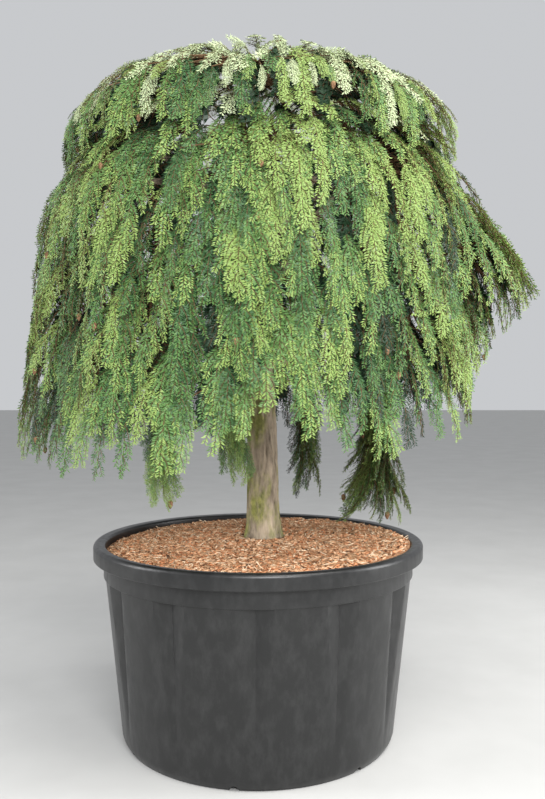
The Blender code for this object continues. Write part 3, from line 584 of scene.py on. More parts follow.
class Cap(Sector):
    """A quarter of the dome outside its middle tuft."""

    def __init__(self, index):
        super().__init__(index, len(CAPS))
        self.name = "foliage_" + CAPS[index]
        self.lean = self.half * 0.5
        self.tip = polar(CAP_TIP_RADIUS, self.middle + self.lean, CAP_TIP_Z)

    def bough(self, count):
        """The bough's middle line, from the trunk's upper end into the dome."""
        leave_z = CAP_BOUGH_Z + 0.028 * (self.index % 2)
        return bough_points(self.middle + self.lean, leave_z, self.tip, count)

    def stem(self):
        """Out of the bough's tip and outward under the dome."""
        end_z = dome_height(CAP_STEM_RADIUS) - CAP_STEM_DEPTH
        end = polar(CAP_STEM_RADIUS, self.middle, end_z)
        first = self.tip + polar(0.07, self.middle + self.lean, 0.05)
        second = end - polar(0.12, self.middle, -0.035)
        return list(interpolate_bezier(self.tip, first, second, end, 8))

    def sprays(self, rng, inner):
        """Root and tip of each spray, laid outward over the dome like thatch."""
        for tip_radius, columns in INNER_CAP_RINGS if inner else CAP_RINGS:
            for column in range(columns):
                share = (column + rng.uniform(0.15, 0.85)) / columns * 2.0 - 1.0
                radius = tip_radius - rng.uniform(0.0, 0.03)
                azimuth = self.middle_at(dome_height(radius)) + share * self.half
                sink = 0.05 if inner else 0.004
                if not inner:
                    sink += 0.032 * (1.0 - ridge(polar(radius, azimuth, dome_height(radius))))
                tip = polar(radius, azimuth, dome_height(radius) - sink)
                root_radius = max(radius - SPRAY_SHARE * SPRAY_LENGTH, 0.06)
                turn = rng.uniform(-0.12, 0.12)
                root_z = dome_height(root_radius) - sink - 0.022
                yield polar(root_radius, azimuth + turn, root_z), tip
        for i in range(SKIRT_SPRAYS // 3 if inner else SKIRT_SPRAYS):
            share = (i * 0.618034) % 1.0 * 2.0 - 1.0
            z = mix(*SKIRT_TIPS, rng.random())
            azimuth = self.middle_at(z) + share * self.half
            root_radius = mix(*SKIRT_ROOT_RADII, rng.random()) - (INNER_DEPTH if inner else 0.0)
            back = RELIEF_DEPTH * (1.0 - ridge(polar(SHOULDER_RADIUS, azimuth, z)))
            radius = SHOULDER_RADIUS - (INNER_DEPTH if inner else 0.7 * back)
            root_z = min(dome_height(root_radius) - 0.02, z + 0.20)
            yield polar(root_radius - 0.5 * back, azimuth, root_z), polar(radius, azimuth, z)


class Tuft:
    """The middle of the dome, over the trunk's tip."""

    def __init__(self):
        self.name = "foliage_top"
        self.tip = trunk_centre(TRUNK_TOP_Z)

    def stem(self):
        """Up from the trunk's tip."""
        end = Vector((-0.020, 0.010, CROWN_TOP - 0.085))
        return list(interpolate_bezier(self.tip, self.tip + UP * 0.05, end - UP * 0.05, end, 6))

    def sprays(self, rng, inner):
        """Root and tip of each spray, fanned round the middle."""
        count = 7 if inner else TUFT_SPRAYS
        for i in range(count):
            azimuth = i * GOLDEN_ANGLE + rng.uniform(-0.2, 0.2)
            radius = mix(0.090, TUFT_RADIUS, (i + 0.5) / count)
            sink = 0.050 if inner else 0.006 + 0.014 * (i % 2)
            tip = polar(radius, azimuth, dome_height(radius) - sink)
            yield polar(0.025, azimuth, CROWN_TOP - 0.022 - sink - 0.006 * (i % 3)), tip


class Tail:
    """A loose tail of foliage that hangs inside the curtains."""

    def __init__(self, index):
        name, centre, top, low, spread_above, spread_below, count, leave_z = TAILS[index]
        self.name = "foliage_" + name
        self.centre = Vector((*centre, 0.0))
        self.top = top
        self.low = low
        self.spreads = (spread_above, spread_below)
        self.count = count
        self.leave_z = leave_z
        out = (self.centre - trunk_centre(leave_z)).xy
        self.azimuth = math.atan2(out.y, out.x)
        back = min(0.06, 0.45 * out.length)
        self.tip = self.centre - polar(back, self.azimuth, 0.0) + UP * (top + 0.03)

    def bough(self, count):
        """The bough's middle line, from the trunk to the tail's top."""
        return bough_points(self.azimuth, self.leave_z, self.tip, count)

    def stem(self):
        """Out of the bough's tip and straight down the tail."""
        low = self.centre + UP * (self.low + 0.11)
        ahead = self.tip + polar(0.035, self.azimuth, 0.006)
        above = self.centre + UP * mix(self.top, self.low, 0.25)
        return list(interpolate_bezier(self.tip, ahead, above, low, 10))

    def sprays(self, rng, inner):
        """Root and tip of each spray, spiralling down round the stem."""
        for i in range(0 if inner else self.count):
            t = i / (self.count - 1)
            turn = i * GOLDEN_ANGLE + rng.uniform(-0.3, 0.3)
            length = 0.70 * SPRAY_LENGTH * rng.uniform(0.8, 1.1)
            z = mix(self.top - 0.05, self.low + 0.008, t**0.75)
            spread = mix(*self.spreads, t) * rng.uniform(0.55, 1.05)
            tip = self.centre + polar(spread, turn, z)
            root = self.centre + polar(0.25 * spread, turn, z + 0.93 * length)
            yield root, tip


def all_masses():
    """Every mass of foliage, in the source's order."""
    masses = [Curtain(i) for i in range(len(CURTAINS))]
    masses += [Cap(i) for i in range(len(CAPS))]
    masses += [Tail(i) for i in range(len(TAILS))]
    masses.append(Tuft())
    return masses


# Sprays of needles


def spray_template(rng, length, width):
    """Needles, shoots and tip marks of one flat spray, in shares of its own length."""
    shoots = [(np.zeros(3), np.array((0.0, 0.0, 1.0)), 1.0, 0.0)]
    for k in range(SHOOTS):
        t = mix(0.10, 0.88, k / (SHOOTS - 1)) + rng.uniform(-0.02, 0.02)
        hand = 1.0 if k % 2 else -1.0
        reach = (0.30 * (1.0 - t) ** 0.55 + 0.07) * rng.uniform(0.8, 1.1)
        angle = math.radians(rng.uniform(34.0, 50.0))
        way = np.array((hand * math.sin(angle), rng.uniform(-0.22, 0.10), math.cos(angle)))
        shoots.append((np.array((0.0, 0.0, t)), way / np.linalg.norm(way), reach, 0.30 * hand))
    needles = []
    marks = []
    lines = []
    for start, way, reach, curl in shoots:

        def place(s):
            sag = np.array((-curl * reach * s * s, -0.10 * reach * s * s, 0.16 * reach * s * s))
            return start + way * reach * s + (sag if curl else 0.0)

        lines.append([place(s) for s in (0.0, 0.5, 1.0)])
        count = max(3, int(reach / NEEDLE_STEP))
        for i in range(count):
            s = (i + 0.5) / count
            foot = place(s)
            ahead = place(min(s + 0.05, 1.0)) - place(s - 0.05)
            ahead = ahead / np.linalg.norm(ahead)
            beside = np.cross(ahead, (0.0, 1.0, 0.0))
            beside /= np.linalg.norm(beside)
            for hand in (-1.0, 1.0):
                splay = math.radians(rng.uniform(38.0, 66.0))
                lift = rng.uniform(-0.45, 0.45)
                out = beside * hand * math.sin(splay) + ahead * math.cos(splay)
                out = out + np.array((0.0, lift, 0.0))
                out /= np.linalg.norm(out)
                size = length * rng.uniform(0.78, 1.10) * (1.0 - 0.35 * s)
                flat = np.cross(out, np.array((rng.uniform(-0.6, 0.6), 1.0, rng.uniform(-0.6, 0.6))))
                flat = flat / np.linalg.norm(flat) * 0.5 * width
                belly = foot + out * size * 0.45
                needles.append((foot, belly + flat, foot + out * size, belly - flat))
                marks.append(1 if s > 0.62 else 0)
    radii = np.tile(np.array((0.0058, 0.0042, 0.0018)), (len(lines), 1))
    radii[0] = (0.0100, 0.0070, 0.0026)
    tubes = tube_arrays(np.array(lines), radii, 3)
    return np.array(needles), np.array(marks), tubes


class Limbs:
    """The middle lines of the trunk and the boughs, to keep foliage clear of them."""

    def __init__(self, masses):
        heights = [mix(TRUNK_FOOT_Z, TRUNK_TOP_Z, i / 20) for i in range(21)]
        trunk = [trunk_centre(z) for z in heights]
        self.runs = list(zip(trunk, trunk[1:], [trunk_radius(z) for z in heights]))
        for mass in masses:
            if hasattr(mass, "bough"):
                points = mass.bough(6)[:-1]
                self.runs += [(a, b, BOUGH_BASE_RADIUS) for a, b in zip(points, points[1:])]

    def clear(self, point):
        """Whether a point keeps its gap to every limb."""
        for a, b, radius in self.runs:
            place, share = intersect_point_line(point, a, b)
            place = a + (b - a) * clamp(share)
            if (place - point).length < radius + LIMB_GAP:
                return False
        return True


def nearest_on(points, target):
    """The point of a polyline that lies nearest to a target."""
    best = None
    for a, b in zip(points, points[1:]):
        place, share = intersect_point_line(target, a, b)
        place = a + (b - a) * clamp(share)
        if best is None or (place - target).length < (best - target).length:
            best = place
    return best


def tone_of(tip, inner, loose, rng):
    """Which tone a spray takes, with light and shade painted into the colour: deep green as painted shade
    in the hollows and inside the crown, fresh and gold as painted light on lit ridges, the lit side and
    high up, pale as a painted highlight on the crown's top.
    """
    # Inner sprays all take the deep tone, as painted shade inside the crown.
    if inner:
        return 0
    azimuth = math.atan2(tip.y, tip.x)
    # Painted light: sprays facing LIT_AZIMUTH are lighter, as if lit from that side.
    lit = 0.5 + 0.5 * math.cos(turn_between(azimuth, LIT_AZIMUTH))
    # Painted light: higher sprays are lighter, as if lit from above; the loose tails take a middle value.
    height = 0.6 if loose else clamp((tip.z - 0.7) / 1.1)
    # Painted shade and light: sprays in the hollows between cascades are darker, those on the ridges
    # lighter.
    value = 0.42 * ridge(tip) + 0.24 * height + 0.22 * lit + rng.uniform(-0.18, 0.18)
    # Near the top the pale tone takes over: a painted highlight on the brightly lit crown top, over the
    # real silvery undersides of the needles.
    if tip.z > PALE_FROM_Z and rng.random() < clamp((tip.z - PALE_FADE_Z) * PALE_RISE):
        return 4
    for tone, limit in enumerate((0.24, 0.44, 0.64)):
        if value < limit:
            return tone
    return 3


def grow_sprays(masses, limbs):
    """Every spray as a template number, a tone, a root and three scaled axes, with its fork."""
    grown = []
    forks = []
    for i, mass in enumerate(masses):
        rng = random.Random(SEED + i)
        stem = mass.stem()
        for inner in (False, True):
            for root, tip in mass.sprays(rng, inner):
                along = tip - root
                out = Vector((root.x + tip.x, root.y + tip.y, 0.0))
                side = along.cross(out).normalized()
                twist = Matrix.Rotation(rng.uniform(-0.55, 0.55), 3, along.normalized())
                side.rotate(twist)
                normal = along.cross(side).normalized()
                if normal.dot(Vector((root.x, root.y, 0.4))) < 0.0:
                    normal = -normal
                tone = tone_of(tip, inner, isinstance(mass, Tail), rng)
                kind = rng.randrange(TEMPLATE_COUNT) + (TEMPLATE_COUNT if inner else 0)
                middle = (root + tip) * 0.5
                if not all(limbs.clear(p) for p in (root, middle, tip)):
                    continue
                size = along.length
                axes = (side * size, normal * size, along)
                grown.append((kind, tone, root, axes))
                forks.append((nearest_on(stem, root + UP * 0.055), root))
    return grown, forks


def spread_template(points, roots, axes):
    """A template's points carried to many sprays, bowed out and let down at the tip."""
    flat = points.reshape(-1, 3)
    placed = np.einsum("pc,icd->ipd", flat, axes) + roots[:, None, :]
    share = np.clip(flat[:, 2], 0.0, 1.0)
    bow = SPRAY_BOW * 4.0 * share * (1.0 - share)
    placed += bow[None, :, None] * axes[:, 1:2, :]
    size = np.linalg.norm(axes[:, 2, :], axis=1)
    placed[:, :, 2] -= size[:, None] * (0.22 * flat[:, 0] ** 2)[None, :]
    return placed


# Settings


class HemlockSettings(bpy.types.PropertyGroup):
    """Sizes and colours of the plant, its container and its stage."""

    needle_length: bpy.props.FloatProperty(
        name="Needle length", description="Length of a needle", default=0.0165, unit="LENGTH"
    )
    needle_width: bpy.props.FloatProperty(
        name="Needle width", description="Greatest width of a needle", default=0.0030, unit="LENGTH"
    )
    inner_needle_length: bpy.props.FloatProperty(
        name="Inner needle length",
        description="Length of a shaded needle inside the crown",
        default=0.0300,
        unit="LENGTH",
    )
    inner_needle_width: bpy.props.FloatProperty(
        name="Inner needle width",
        description="Width of a shaded needle inside the crown",
        default=0.0085,
        unit="LENGTH",
    )
    # Deep green is painted shade in the hollows and inside the crown.
    deep_green: bpy.props.FloatVectorProperty(
        name="Deep green",
        description="Needles in the hollows",
        default=(0.011, 0.034, 0.013),
        subtype="COLOR",
    )
    mid_green: bpy.props.FloatVectorProperty(
        name="Mid green",
        description="Needles of the body",
        default=(0.037, 0.100, 0.030),
        subtype="COLOR",
    )
    fresh_green: bpy.props.FloatVectorProperty(
        name="Fresh green",
        description="Needles on lit ridges",
        default=(0.095, 0.195, 0.052),
        subtype="COLOR",
    )
    # Gold green is the real colour of the youngest tips, and also painted light on the most lit ridges.
    gold_green: bpy.props.FloatVectorProperty(
        name="Gold green",
        description="Needles at the youngest tips",
        default=(0.225, 0.330, 0.085),
        subtype="COLOR",
    )
    # Pale green, called bleached below, is a painted highlight on the brightly lit top of the crown, over
    # the real silvery undersides of the needles.
    pale_green: bpy.props.FloatVectorProperty(
        name="Pale green",
        description="Bleached needles on the crown's top",
        default=(0.430, 0.510, 0.290),
        subtype="COLOR",
    )
    bark_colour: bpy.props.FloatVectorProperty(
        name="Bark", description="Middle tone of the bark", default=(0.30, 0.245, 0.18), subtype="COLOR"
    )
    twig_colour: bpy.props.FloatVectorProperty(
        name="Twigs", description="Thin twigs", default=(0.16, 0.095, 0.05), subtype="COLOR"
    )
    container_colour: bpy.props.FloatVectorProperty(
        name="Container", description="Moulded plastic", default=(0.010, 0.0103, 0.0106), subtype="COLOR"
    )
    camera_distance: bpy.props.FloatProperty(
        name="Camera distance", description="From the plant's axis", default=2.466, unit="LENGTH"
    )
    camera_height: bpy.props.FloatProperty(
        name="Camera height", description="Above the floor", default=0.98, unit="LENGTH"
    )
    camera_pitch: bpy.props.FloatProperty(
        name="Camera pitch",
        description="Upward tilt of the camera",
        default=math.radians(5.23),
        subtype="ANGLE",
    )
    key_power: bpy.props.FloatProperty(
        name="Key light", description="Power of the large soft light", default=150.0, unit="POWER"
    )
    sky_level: bpy.props.FloatProperty(
        name="Sky", description="Strength of the even light all round", default=0.62
    )


# Container


def wall_radius(z):
    """The container's outer radius below its ledge."""
    if z < FOOT_CURVE_Z:
        t = 1.0 - z / FOOT_CURVE_Z
        return FOOT_CURVE_RADIUS - (FOOT_CURVE_RADIUS - FOOT_RADIUS) * t * t
    share = (z - FOOT_CURVE_Z) / (BAND_BOTTOM_Z - FOOT_CURVE_Z)
    return mix(FOOT_CURVE_RADIUS, BAND_RADIUS - LEDGE, share)


def arc_points(centre, radius, first, last, count):
    """Points of an arc in the profile's plane, angles in degrees from outward."""
    points = []
    for i in range(count):
        turn = math.radians(mix(first, last, i / (count - 1)))
        points.append((centre[0] + radius * math.cos(turn), centre[1] + radius * math.sin(turn)))
    return points


def container_profile():
    """Radius and height round the container's wall, from the floor's middle outside."""
    collar_bottom = POT_HEIGHT - COLLAR_DROP
    inside = RIM_RADIUS - RIM_WIDTH
    profile = [(0.0, 0.0)]
    profile += [(wall_radius(z), z) for z in (0.0, 0.004, 0.009, 0.015, 0.022, FOOT_CURVE_Z)]
    for i in range(1, 21):
        z = mix(GROOVE_END_Z, GROOVE_TOP_Z, (i - 1) / 19)
        profile.append((wall_radius(z), z))
    profile += [(wall_radius(BAND_BOTTOM_Z), BAND_BOTTOM_Z - 0.0006)]
    profile += arc_points((BAND_RADIUS - 0.003, BAND_BOTTOM_Z + 0.003), 0.003, -90.0, 0.0, 5)
    profile += [(BAND_RADIUS, 0.470), (BAND_RADIUS + 0.001, POT_HEIGHT - 2.0 * LIP_THICKNESS)]
    profile += [
        (RIM_RADIUS - LIP_THICKNESS, POT_HEIGHT - 2.0 * LIP_THICKNESS),
        (RIM_RADIUS - LIP_THICKNESS - 0.001, collar_bottom + 0.001),
        (RIM_RADIUS - LIP_THICKNESS, collar_bottom),
        (RIM_RADIUS - 0.003, collar_bottom),
        (RIM_RADIUS - 0.001, collar_bottom + 0.002),
    ]
    profile += arc_points((RIM_RADIUS - 0.011, POT_HEIGHT - 0.011), 0.011, 0.0, 90.0, 8)
    profile += arc_points((inside + 0.009, POT_HEIGHT - 0.0105), 0.009, 84.0, 180.0, 7)
    profile += [(BAND_RADIUS - POT_WALL, POT_HEIGHT - 0.040), (BAND_RADIUS - POT_WALL, BAND_BOTTOM_Z)]
    profile += [(FOOT_CURVE_RADIUS - POT_WALL - GROOVE_DEPTH, 0.430), (0.340, POT_FLOOR), (0.0, POT_FLOOR)]
    return profile


def press_grooves(bm):
    """Sink the tapering grooves into the outer wall."""
    for vert in bm.verts:
        radius = vert.co.xy.length
        z = vert.co.z
        if not GROOVE_END_Z < z < GROOVE_TOP_Z + 0.0004 or radius < wall_radius(z) - 0.0005:
            continue
        share = (z - GROOVE_END_Z) / (GROOVE_TOP_Z - GROOVE_END_Z)
        pitch = 2.0 * math.pi / GROOVE_COUNT
        azimuth = math.atan2(vert.co.y, vert.co.x)
        off = (azimuth + 0.5 * math.pi + 0.5 * pitch) % pitch - 0.5 * pitch
        half = mix(GROOVE_END_HALF_ANGLE, GROOVE_HALF_ANGLE, share)
        wedge = clamp(1.0 - abs(off) / half)
        sunk = radius - GROOVE_DEPTH * share * wedge
        vert.co.x *= sunk / radius
        vert.co.y *= sunk / radius


def drain_cutter():
    """Arched plugs for the drain slots at the foot of the wall."""
    bm = bmesh.new()
    for i in range(DRAIN_COUNT):
        azimuth = DRAIN_FIRST_AZIMUTH + 2.0 * math.pi * i / DRAIN_COUNT
        outward = Matrix.Rotation(azimuth, 4, "Z")
        lie = Matrix.Translation((FOOT_RADIUS - 0.012, 0.0, 0.0))
        lie = lie @ Matrix.Rotation(0.5 * math.pi, 4, "Y")
        ring = bmesh.ops.create_circle(
            bm, cap_ends=True, segments=24, radius=0.5 * DRAIN_WIDTH, matrix=outward @ lie
        )
        face = ring["verts"][0].link_faces[0]
        grown = bmesh.ops.extrude_face_region(bm, geom=[face])["geom"]
        outer = [part for part in grown if isinstance(part, bmesh.types.BMVert)]
        bmesh.ops.translate(bm, verts=outer, vec=outward @ Vector((0.040, 0.0, 0.0)))
    for vert in bm.verts:
        vert.co.z *= DRAIN_HEIGHT / (0.5 * DRAIN_WIDTH)
    return mesh_from_bmesh("drain_plugs", bm)


class HEMLOCK_OT_container(bpy.types.Operator):
    """Turn the grooved container with its rolled collar and drain slots"""

    bl_idname = "hemlock.container"
    bl_label = "Container"

    def execute(self, context):
        bm = bmesh.new()
        verts = [bm.verts.new((radius, 0.0, z)) for radius, z in container_profile()]
        edges = [bm.edges.new(pair) for pair in zip(verts, verts[1:])]
        bmesh.ops.spin(
            bm,
            geom=verts + edges,
            axis=UP,
            cent=(0.0, 0.0, 0.0),
            steps=GROOVE_COUNT * COLUMNS_PER_GROOVE,
            angle=2.0 * math.pi,
            use_merge=True,
        )
        bmesh.ops.remove_doubles(bm, verts=bm.verts, dist=1e-5)
        press_grooves(bm)
        body = bpy.data.objects.new("container_body", mesh_from_bmesh("container_body", bm))
        plugs = bpy.data.objects.new("drain_plugs", drain_cutter())
        for item in (body, plugs):
            context.scene.collection.objects.link(item)
        cut = body.modifiers.new("Drains", "BOOLEAN")
        cut.operation = "DIFFERENCE"
        cut.object = plugs
        cut.solver = "EXACT"
        graph = context.evaluated_depsgraph_get()
        mesh = bpy.data.meshes.new_from_object(body.evaluated_get(graph))
        for item in (body, plugs):
            bpy.data.objects.remove(item, do_unlink=True)
        material = plastic_material(context.scene.hemlock)
        finish_piece("container", mesh, material, ("pot",), math.radians(17.0))
        return {"FINISHED"}


# Mulch


def bed_height(x, y):
    """The mulch's height at a place, with its mound, tilt and lumps."""
    radius = math.hypot(x, y)
    share = min(radius / BED_RADIUS, 1.0)
    azimuth = math.atan2(y, x)
    tilt = SOIL_EDGE_TILT * math.cos(azimuth - SOIL_EDGE_HIGH_AZIMUTH)
    z = mix(SOIL_TOP_Z, SOIL_EDGE_Z, share * share) + tilt * share * share
    return z + 0.0035 * noise.noise(Vector((22.0 * x, 22.0 * y, 0.0)))


class HEMLOCK_OT_mulch_bed(bpy.types.Operator):
    """Lay the lumpy bed of mulch inside the container"""

    bl_idname = "hemlock.mulch_bed"
    bl_label = "Mulch bed"

    def execute(self, context):
        bm = bmesh.new()
        rings = 40
        profile = [(BED_RADIUS * i / rings, 0.0, 0.0) for i in range(rings + 1)]
        profile += [(BED_RADIUS, 0.0, -0.06), (0.0, 0.0, -0.06)]
        verts = [bm.verts.new(place) for place in profile]
        edges = [bm.edges.new(pair) for pair in zip(verts, verts[1:])]
        bmesh.ops.spin(
            bm,
            geom=verts + edges,
            axis=UP,
            cent=(0.0, 0.0, 0.0),
            steps=144,
            angle=2.0 * math.pi,
            use_merge=True,
        )
        bmesh.ops.remove_doubles(bm, verts=bm.verts, dist=1e-5)
        for vert in bm.verts:
            vert.co.z += bed_height(vert.co.x, vert.co.y)
        material = grain_material("mulch_fines", (0.24, 0.11, 0.055), (0.60, 0.34, 0.19), 110.0)
        mesh = mesh_from_bmesh("mulch_bed", bm)
        finish_piece("mulch_bed", mesh, material, ("soil",), math.radians(60.0))
        return {"FINISHED"}


def chip_arrays(rng, count, long_range, wide_range, thick_range):
    """Points and faces of loose chips that lie over the bed."""
    corners = np.array(
        [(x, y, z) for z in (-1.0, 1.0) for x, y in ((-1.0, -1.0), (1.0, -1.0), (1.0, 1.0), (-1.0, 1.0))]
    )
    sides = np.array(
        ((3, 2, 1, 0), (4, 5, 6, 7), (0, 1, 5, 4), (1, 2, 6, 5), (2, 3, 7, 6), (3, 0, 4, 7))
    )
    points = []
    while len(points) < count:
        radius = (BED_RADIUS - 0.012) * math.sqrt(rng.random())
        azimuth = rng.uniform(-math.pi, math.pi)
        x = radius * math.cos(azimuth)
        y = radius * math.sin(azimuth)
        if math.hypot(x - TRUNK_FOOT_X, y) < 0.068:
            continue
        size = (rng.uniform(*long_range), rng.uniform(*wide_range), rng.uniform(*thick_range))
        shape = corners * 0.5 * np.array(size)
        shape *= 1.0 + 0.35 * np.array([[rng.uniform(-1.0, 1.0) for _ in range(3)] for _ in range(8)])
        tilt = Matrix.Rotation(rng.gauss(0.0, 0.30), 3, "X") @ Matrix.Rotation(rng.gauss(0.0, 0.26), 3, "Y")
        turn = Matrix.Rotation(rng.uniform(0.0, 2.0 * math.pi), 3, "Z") @ tilt
        place = np.array((x, y, bed_height(x, y) + rng.uniform(0.0, 0.0045)))
        points.append(shape @ np.array(turn).T + place)
    offsets = (np.arange(count) * 8)[:, None, None]
    return np.concatenate(points), (sides[None] + offsets).reshape(-1, 4)


CHIP_TONES = (
    ("tan", 0.42, (0.50, 0.27, 0.14), (0.82, 0.52, 0.32), (0.008, 0.020), (0.003, 0.008)),
    ("orange", 0.32, (0.42, 0.16, 0.07), (0.74, 0.36, 0.18), (0.007, 0.018), (0.003, 0.008)),
    ("dark", 0.08, (0.06, 0.030, 0.018), (0.22, 0.11, 0.06), (0.006, 0.014), (0.003, 0.007)),
    ("straw", 0.18, (0.70, 0.50, 0.32), (0.92, 0.74, 0.54), (0.012, 0.030), (0.0014, 0.0036)),
)


class HEMLOCK_OT_chips(bpy.types.Operator):
    """Scatter bark chips and coir fibres over the mulch, tone by tone"""

    bl_idname = "hemlock.chips"
    bl_label = "Bark chips"

    def execute(self, context):
        for i, (tone, share, low, high, long_range, wide_range) in enumerate(CHIP_TONES):
            rng = random.Random(SEED + 100 + i)
            count = int(CHIP_COUNT * share)
            points, faces = chip_arrays(rng, count, long_range, wide_range, (0.0010, 0.0026))
            mesh = mesh_from_arrays("chips_" + tone, points, faces)
            material = grain_material("bark_chip_" + tone, low, high, 130.0)
            finish_piece("chips_" + tone, mesh, material)
        rng = random.Random(SEED + 120)
        lines = []
        while len(lines) < FIBRE_COUNT:
            radius = (BED_RADIUS - 0.02) * math.sqrt(rng.random())
            azimuth = rng.uniform(-math.pi, math.pi)
            x = radius * math.cos(azimuth)
            y = radius * math.sin(azimuth)
            if math.hypot(x - TRUNK_FOOT_X, y) < 0.075:
                continue
            turn = rng.uniform(0.0, 2.0 * math.pi)
            reach = rng.uniform(0.008, 0.024)
            bend = rng.uniform(-0.35, 0.35)
            line = []
            for step in (-0.5, 0.0, 0.5):
                dx = reach * (step * math.cos(turn) - bend * step * step * math.sin(turn))
                dy = reach * (step * math.sin(turn) + bend * step * step * math.cos(turn))
                line.append((x + dx, y + dy, bed_height(x, y) + 0.005 + 0.004 * rng.random()))
            lines.append(line)
        radii = np.full((len(lines), 3), 0.0006)
        points, faces = tube_arrays(np.array(lines), radii, 3)
        material = grain_material("coir_fibre", (0.30, 0.16, 0.08), (0.55, 0.34, 0.19), 80.0)
        finish_piece("fibres", mesh_from_arrays("fibres", points, faces), material)
        return {"FINISHED"}


# Trunk and boughs


def trunk_relief(point):
    """Plates and fissures of the trunk's bark."""
    place = Vector((44.0 * point.x, 44.0 * point.y, 8.0 * point.z))
    crack = noise.noise(place)
    plates = noise.noise(Vector((95.0 * point.x, 95.0 * point.y, 30.0 * point.z)))
    groove = clamp(1.0 - abs(crack) / 0.17)
    return 0.0016 * plates - 0.0042 * groove * groove


def bough_relief(point):
    """The finer bark of the boughs."""
    return 0.0011 * noise.noise(point * 70.0) + 0.0006 * noise.noise(point * 170.0)


class HEMLOCK_OT_trunk(bpy.types.Operator):
    """Raise the trunk with its root flare, fissured plates and moss"""

    bl_idname = "hemlock.trunk"
    bl_label = "Trunk"

    def execute(self, context):
        bm = bmesh.new()
        rings = 190
        heights = [mix(TRUNK_FOOT_Z, TRUNK_TOP_Z, (i / rings) ** 1.25) for i in range(rings + 1)]
        points = [trunk_centre(z) for z in heights]
        radii = [trunk_radius(z) for z in heights]
        add_barked_limb(bm, points, radii, 72, trunk_relief)
        for vert in bm.verts:
            centre = trunk_centre(vert.co.z)
            out = vert.co - centre
            azimuth = math.atan2(out.y, out.x)
            fade = math.exp(-max(vert.co.z - TRUNK_FOOT_Z, 0.0) / (2.0 * FLARE_FADE))
            lobe = 1.0 + ROOT_LOBE_DEPTH * fade * math.cos(ROOT_LOBES * azimuth)
            vert.co.x = centre.x + out.x * lobe
            vert.co.y = centre.y + out.y * lobe
            vert.co.z = max(vert.co.z, TRUNK_FOOT_Z - 0.004)
        material = bark_material("trunk_bark", context.scene.hemlock, True)
        mesh = mesh_from_bmesh("trunk_bark", bm)
        finish_piece("trunk_bark", mesh, material, ("trunk",), math.radians(60.0))
        return {"FINISHED"}


class HEMLOCK_OT_boughs(bpy.types.Operator):
    """Arch the boughs from the trunk to their masses"""

    bl_idname = "hemlock.boughs"
    bl_label = "Boughs"

    def execute(self, context):
        bm = bmesh.new()
        names = []
        for mass in all_masses():
            if not hasattr(mass, "bough"):
                continue
            names.append(mass.name.replace("foliage_", "bough_"))
            count = 30
            points = list(mass.bough(count))
            shares = [i / (count - 1) for i in range(count)]
            radii = [mix(BOUGH_BASE_RADIUS, BOUGH_TIP_RADIUS, t**0.8) for t in shares]
            limb = bmesh.new()
            add_barked_limb(limb, points, radii, 14, bough_relief)
            mesh = bpy.data.meshes.new("limb")
            limb.to_mesh(mesh)
            limb.free()
            bm.from_mesh(mesh)
            bpy.data.meshes.remove(mesh)
        material = bark_material("bough_bark", context.scene.hemlock, False)
        mesh = mesh_from_bmesh("boughs", bm)
        finish_piece("boughs", mesh, material, names, math.radians(60.0))
        return {"FINISHED"}


# Foliage

# Needle tones: besides the needles' own greens, deep is painted shade, fresh and gold are painted light,
# pale is a painted highlight.
TONE_NAMES = ("deep", "mid", "fresh", "gold", "pale")


def foliage_nodes():
    """The masses of foliage in the frame."""
    return [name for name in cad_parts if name.startswith("foliage_")]


